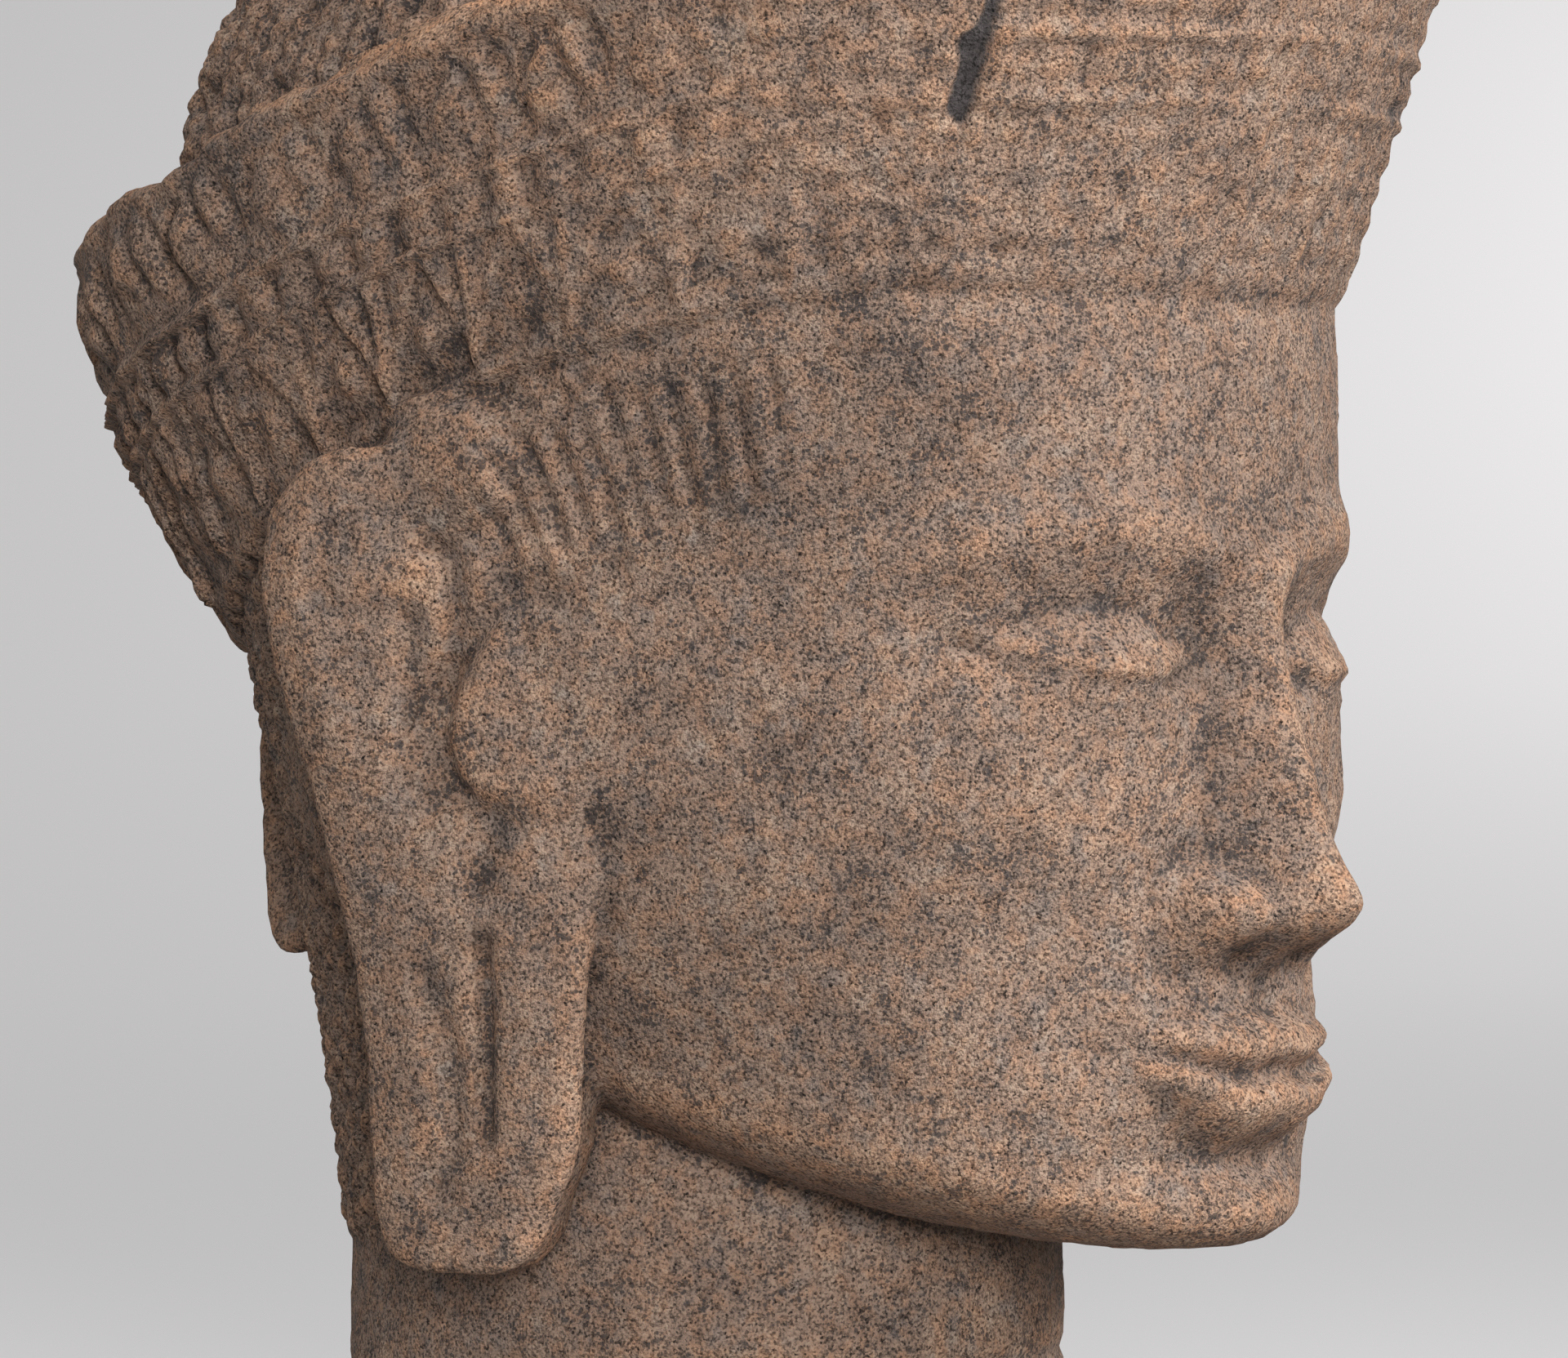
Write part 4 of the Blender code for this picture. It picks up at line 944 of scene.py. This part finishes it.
def addNode(tree, kind, place, **settings):
    node = tree.nodes.new(kind)
    node.location = place
    for name, value in settings.items():
        setattr(node, name, value)
    return node


def fillSockets(tree, sockets, values):
    for socket, value in zip(sockets, values):
        if isinstance(value, bpy.types.NodeSocket):
            tree.links.new(value, socket)
        elif isinstance(value, tuple):
            socket.default_value = (*value, 1.0)
        else:
            socket.default_value = value


def calc(tree, place, operation, *values, clamp=False):
    node = addNode(tree, "ShaderNodeMath", place, operation=operation, use_clamp=clamp)
    fillSockets(tree, node.inputs, values)
    return node.outputs[0]


def between(tree, place, value, low, high):
    # 0 below low, 1 above high, smooth on the way
    node = addNode(tree, "ShaderNodeMapRange", place, interpolation_type="SMOOTHSTEP")
    fillSockets(tree, node.inputs, (value, low, high, 0.0, 1.0))
    return node.outputs[0]


def blend(tree, place, amount, a, b, kind="MIX"):
    node = addNode(tree, "ShaderNodeMix", place, data_type="RGBA", blend_type=kind)
    fillSockets(tree, (node.inputs[0], node.inputs[6], node.inputs[7]), (amount, a, b))
    return node.outputs[2]


def cloud(tree, place, at, scale, detail, roughness):
    node = addNode(tree, "ShaderNodeTexNoise", place)
    fillSockets(tree, (node.inputs["Vector"], node.inputs["Scale"]), (at, scale))
    fillSockets(tree, (node.inputs["Detail"], node.inputs["Roughness"]), (detail, roughness))
    return node.outputs[0]


def makeSandstone():
    material = bpy.data.materials.new("weatheredSandstone")
    material.use_nodes = True
    tree = material.node_tree
    shader = tree.nodes["Principled BSDF"]
    shader.location = (1500, 0)
    tree.nodes["Material Output"].location = (1800, 0)
    shader.inputs["Specular IOR Level"].default_value = 0.25
    at = addNode(tree, "ShaderNodeTexCoord", (-1500, 0)).outputs["Object"]
    grains = addNode(tree, "ShaderNodeTexVoronoi", (-1200, 300))
    fillSockets(tree, (grains.inputs["Vector"], grains.inputs["Scale"]), (at, sandstone["grain"]))
    grain = addNode(tree, "ShaderNodeSeparateColor", (-1000, 300))
    tree.links.new(grains.outputs["Color"], grain.inputs[0])
    specks = cloud(tree, (-1200, 100), at, sandstone["speck"], 2.0, 0.7)
    clumps = cloud(tree, (-1200, -100), at, sandstone["clump"], 3.0, 0.72)
    patches = cloud(tree, (-1200, -300), at, sandstone["patch"], 2.0, 0.6)
    stains = cloud(tree, (-1200, -500), at, sandstone["stain"], 2.0, 0.62)
    # a grain's tone is its own chance, moved by the specks, clumps and patches it lies in
    lowest = sandstone["meanTone"] - (0.2 + 0.7 + 1.3 + 0.9) / 2
    tone = calc(tree, (-800, 300), "MULTIPLY_ADD", grain.outputs[0], 0.2, lowest)
    tone = calc(tree, (-700, 250), "MULTIPLY_ADD", specks, 0.7, tone)
    tone = calc(tree, (-600, 250), "MULTIPLY_ADD", clumps, 1.3, tone)
    tone = calc(tree, (-500, 250), "MULTIPLY_ADD", patches, 0.9, tone)
    colours = addNode(tree, "ShaderNodeValToRGB", (-300, 300))
    elements = colours.color_ramp.elements
    stops = ((0.10, "darkGrains"), (0.29, "greyGrains"), (0.45, "tanGrains"), (0.66, "warmGrains"),
             (0.92, "paleGrains"))
    while len(elements) < len(stops):
        elements.new(0.5)
    for element, (position, name) in zip(elements, stops):
        element.position = position
        element.color = (*sandstone[name], 1.0)
    tree.links.new(tone, colours.inputs[0])
    # light and dark from grain to grain, about 1.09 in the middle
    shade = calc(tree, (-300, 100), "MULTIPLY_ADD", grain.outputs[0], 1.3, 1.09 - (1.3 + 2.5) / 2)
    shade = calc(tree, (-200, 100), "MULTIPLY_ADD", specks, 2.5, shade)
    shade = calc(tree, (-100, 100), "MINIMUM", shade, 1.3)
    grained = blend(tree, (-150, 300), 1.0, colours.outputs[0], shade, "MULTIPLY")
    greyed = cloud(tree, (-500, 550), at, sandstone["greyPatch"], 2.0, 0.65)
    greyed = between(tree, (-300, 550), greyed, 0.50, 0.68)
    reddened = cloud(tree, (-500, 750), at, sandstone["orangePatch"], 2.0, 0.6)
    reddened = between(tree, (-300, 750), reddened, 0.44, 0.62)
    grained = blend(tree, (-50, 300), reddened, grained,
                    blend(tree, (-100, 700), 1.0, grained, sandstone["orangePatches"], "MULTIPLY"))
    mixed = blend(tree, (0, 450), greyed, grained,
                  blend(tree, (-100, 550), 1.0, grained, sandstone["greyPatches"], "MULTIPLY"))
    # dirt and painted shade in the hollows, dirt in stains, and the patina and painted shade that the mask
    # puts; edges rubbed pale, with a painted highlight where the mask is negative
    proud = addNode(tree, "ShaderNodeAttribute", (-1200, -800), attribute_name="proud").outputs["Fac"]
    paintedLightAndPatina = addNode(tree, "ShaderNodeAttribute", (-1200, -1000), attribute_name="patinaAndPaintedShade").outputs["Fac"]
    fill = addNode(tree, "ShaderNodeAttribute", (-1200, -1200), attribute_name="crackFill").outputs["Fac"]
    # the hollows made darker: partly dirt, partly painted shade
    hollow = between(tree, (-900, -700), calc(tree, (-1050, -700), "MULTIPLY", proud, -1.0), 0.05, 0.9)
    stained = between(tree, (-900, -500), stains, 0.50, 0.72)
    dirtAndPaintedShade = calc(tree, (-800, -500), "MULTIPLY", stained, sandstone["stainDirt"])
    dirtAndPaintedShade = calc(tree, (-700, -600), "MULTIPLY_ADD", hollow, sandstone["hollowDirtAndShade"], dirtAndPaintedShade)
    dirtAndPaintedShade = calc(tree, (-550, -600), "ADD", dirtAndPaintedShade, paintedLightAndPatina)
    broken = calc(tree, (-550, -800), "MULTIPLY_ADD", clumps, 0.9, 0.55)
    dirtAndPaintedShade = calc(tree, (-400, -600), "MULTIPLY", dirtAndPaintedShade, broken, clamp=True)
    # round black specks with ragged edges, crowded in clusters and where the dirt and painted shade lie
    crowd = cloud(tree, (-1100, -1700), at, sandstone["crowd"], 2.0, 0.65)
    crowd = calc(tree, (-900, -1700), "MULTIPLY_ADD", crowd, -2.6, 1.31)
    crowd = calc(tree, (-800, -1700), "MULTIPLY_ADD", dirtAndPaintedShade, 0.55, crowd)
    black = 0.0
    for n, size in enumerate(sandstone["blackSpeck"]):
        row = -1300 - 200 * n
        cells = addNode(tree, "ShaderNodeTexVoronoi", (-1100, row))
        fillSockets(tree, (cells.inputs["Vector"], cells.inputs["Scale"]), (at, size))
        chance = addNode(tree, "ShaderNodeSeparateColor", (-900, row))
        tree.links.new(cells.outputs["Color"], chance.inputs[0])
        reach = calc(tree, (-700, row), "ADD", chance.outputs[n], crowd)
        reach = calc(tree, (-600, row), "MULTIPLY_ADD", reach, 0.8, -1.0)
        reach = calc(tree, (-500, row), "MULTIPLY_ADD", specks, 0.9, reach)
        reach = calc(tree, (-400, row), "SUBTRACT", reach, cells.outputs["Distance"])
        reach = between(tree, (-300, row), reach, -0.08, 0.08)
        black = calc(tree, (-200, row), "MAXIMUM", reach, black)
    black = calc(tree, (-100, -1300), "MULTIPLY", black, 0.78)
    mixed = blend(tree, (100, 450), black, mixed, sandstone["blackSpecks"])
    colour = blend(tree, (200, 200), dirtAndPaintedShade, mixed,
                   blend(tree, (50, 0), 1.0, mixed, sandstone["patinaAndPaintedShade"], "MULTIPLY"))
    rubbed = calc(tree, (100, -300), "MULTIPLY", between(tree, (-100, -300), proud, 0.15, 0.9), 0.6)
    # where the mask is negative, a painted highlight on the rim and the upper diadem
    rubbed = calc(tree, (250, -300), "MULTIPLY_ADD", paintedLightAndPatina, -2.2, rubbed, clamp=True)
    colour = blend(tree, (400, 200), rubbed, colour,
                   blend(tree, (250, 0), 1.0, colour, sandstone["rubbed"], "MULTIPLY"))
    colour = blend(tree, (700, 200), fill, colour,
                   blend(tree, (550, 0), 1.0, sandstone["crackFill"], shade, "MULTIPLY"))
    tree.links.new(colour, shader.inputs["Base Color"])
    rough = calc(tree, (900, -200), "MULTIPLY_ADD", grain.outputs[1], 0.16, 0.78)
    tree.links.new(rough, shader.inputs["Roughness"])
    # grains stand out of the surface a little, each by its own amount
    height = calc(tree, (500, -500), "MULTIPLY", specks, 1.6)
    height = calc(tree, (700, -500), "MULTIPLY_ADD", grain.outputs[2], 0.35, height)
    bump = addNode(tree, "ShaderNodeBump", (1200, -400))
    fillSockets(tree, (bump.inputs["Strength"], bump.inputs["Distance"]),
                (sandstone["bump"], sandstone["bumpDistance"]))
    tree.links.new(height, bump.inputs["Height"])
    tree.links.new(bump.outputs[0], shader.inputs["Normal"])
    return material


# turn from the front in degrees, height, spread both ways, and how dark; a negative amount paints lighter
paintedLightAndPatinaPlaces = (
    (180, 200, 80, 90, 0.12),
    (0, 340, 400, 26, 0.20),
    # painted shade on the left temple, turned from the lamps
    (-52, 190, 18, 28, 0.38),
    (-27, 168, 5, 5, 0.50),
    # a darker band on the forehead just under the diadem
    (-5, 195, 45, 22, 0.13),
    # the next three: painted shade on the far side of the diadem, the left lobe and low on the left neck,
    # which turn from the lamps
    (-112, 238, 30, 32, 0.18),
    (-97, 110, 14, 28, 0.14),
    (-92, 50, 26, 14, 0.10),
    # the last two: painted highlight on the upper diadem at the left and at the front
    (-64, 243, 24, 26, -0.12),
    (-10, 250, 40, 26, -0.09),
)


def paintedLightAndPatinaMask(points):
    # darker where soot and lichen sit, with painted shade on the left side turned from the lamps, and
    # lighter with a painted highlight where the amount is negative; the places are broad and soft
    x, y, z = points.T
    turn = np.degrees(np.arctan2(x, -(y + headForm["forward"])))
    out = np.zeros(len(points))
    for centre, height, width, tall, amount in paintedLightAndPatinaPlaces:
        gap = np.mod(turn - centre + 180.0, 360.0) - 180.0
        out += amount * np.exp(-((gap / width) ** 2) - ((z - height) / tall) ** 2)
    out *= 0.75 + 0.6 * lumps(points, 18.0, 12)
    angle, share, radius = diademPlace(x, y, z)
    onRim = ramp(share, 0.92, 0.97) * ramp(radius - diademRadius(angle, 1.0), -11.0, -9.0)
    out -= 0.60 * onRim  # the rim is rubbed, and painted lighter as a highlight on its top; no patina there
    return np.clip(out, -0.5, 0.9)


# The studio: a pale floor that bends up into a round wall, and soft lamps. Lengths are in metres.
studio = {
    "floorColour": (0.80, 0.785, 0.79),
    "floorGlow": 0.135,
    "flatRadius": 1.6,
    "wallRadius": 7.0,
    "wallHeight": 6.0,
    "skyStrength": 0.12,
    # name: place, aim, width and height, power in watts
    "lamps": {
        "frontLamp": ((0.55, -2.4, 1.6), (0.0, 0.0, 0.2), (1.1, 1.1), 67.0),
        "sideLamp": ((-2.1, -1.9, 0.65), (0.0, 0.0, 0.18), (0.9, 0.8), 50.0),
        "wallLamp": ((3.4, 0.1, 1.2), (3.6, 1.9, 0.7), (0.6, 1.2), 42.0),
        "backLamp": ((-0.6, 2.6, 1.5), (0.0, 0.0, 0.2), (1.4, 1.2), 9.0),
        "topLamp": ((-1.0, -0.2, 2.3), (0.0, 0.0, 0.25), (1.2, 1.2), 10.0),
    },
}


def makeFloor():
    flat, wall, height = studio["flatRadius"], studio["wallRadius"], studio["wallHeight"]
    bend = wall - flat
    outline = [(flat * share, 0.0) for share in (0.02, 0.3, 0.7, 1.0)]
    for turn in np.linspace(0, math.pi / 2, 14)[1:]:
        outline.append((flat + bend * math.sin(turn), bend * (1 - math.cos(turn))))
    outline.append((wall, height))
    turn = np.linspace(0, 2 * math.pi, 128, endpoint=False)
    points = [(r * math.cos(t), r * math.sin(t), z) for r, z in outline for t in turn]
    count = len(turn)
    faces = [tuple(range(count))]
    for i in range(len(outline) - 1):
        for j in range(count):
            k = (j + 1) % count
            faces.append((i * count + j, i * count + k, (i + 1) * count + k, (i + 1) * count + j))
    mesh = bpy.data.meshes.new("studioFloor")
    mesh.from_pydata(points, [], faces)
    mesh.shade_smooth()
    paint = bpy.data.materials.new("matteFloorPaint")
    paint.use_nodes = True
    shader = paint.node_tree.nodes["Principled BSDF"]
    shader.inputs["Base Color"].default_value = (*studio["floorColour"], 1.0)
    shader.inputs["Roughness"].default_value = 0.95
    shader.inputs["Specular IOR Level"].default_value = 0.1
    shader.inputs["Emission Color"].default_value = (*studio["floorColour"], 1.0)
    shader.inputs["Emission Strength"].default_value = studio["floorGlow"]
    mesh.materials.append(paint)
    floor = addObject("studioFloor", mesh)
    floor.visible_diffuse = False  # the glow lights nothing else
    return floor


def aimAt(obj, target):
    obj.rotation_euler = (Vector(target) - obj.location).to_track_quat("-Z", "Y").to_euler()


def makeLamps():
    for name, (place, aim, size, power) in studio["lamps"].items():
        lamp = bpy.data.lights.new(name, "AREA")
        lamp.shape = "RECTANGLE"
        lamp.size, lamp.size_y = size
        lamp.energy = power
        obj = addObject(name, lamp)
        obj.location = place
        obj.visible_camera = False
        aimAt(obj, aim)
    world = bpy.data.worlds.new("paleRoom")
    world.use_nodes = True
    background = world.node_tree.nodes["Background"]
    background.inputs["Color"].default_value = (0.98, 0.99, 1.0, 1.0)
    background.inputs["Strength"].default_value = studio["skyStrength"]
    bpy.context.scene.world = world


# The camera of the photograph.
cameraView = {
    "turn": -55.0,          # degrees from the front of the head
    "distance": 1.6,        # metres
    "lens": 225.0,
    "target": (0.0071, -0.0102, 0.156),
}


def makeCamera():
    lens = bpy.data.cameras.new("photoCamera")
    lens.lens = cameraView["lens"]
    lens.sensor_width = 36.0
    lens.clip_end = 40.0
    camera = addObject("photoCamera", lens)
    turn = math.radians(cameraView["turn"])
    target = Vector(cameraView["target"])
    camera.location = target + cameraView["distance"] * Vector((math.sin(turn), -math.cos(turn), 0.0))
    aimAt(camera, target)
    bpy.context.scene.camera = camera


head = makeStone()
head.data.materials.clear()
head.data.materials.append(makeSandstone())
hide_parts("vishnu_head")
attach(head, "root")
print("stone head dressed")

makeFloor()
makeLamps()
makeCamera()
bpy.context.scene.view_settings.view_transform = "Standard"
print("studio and camera set")
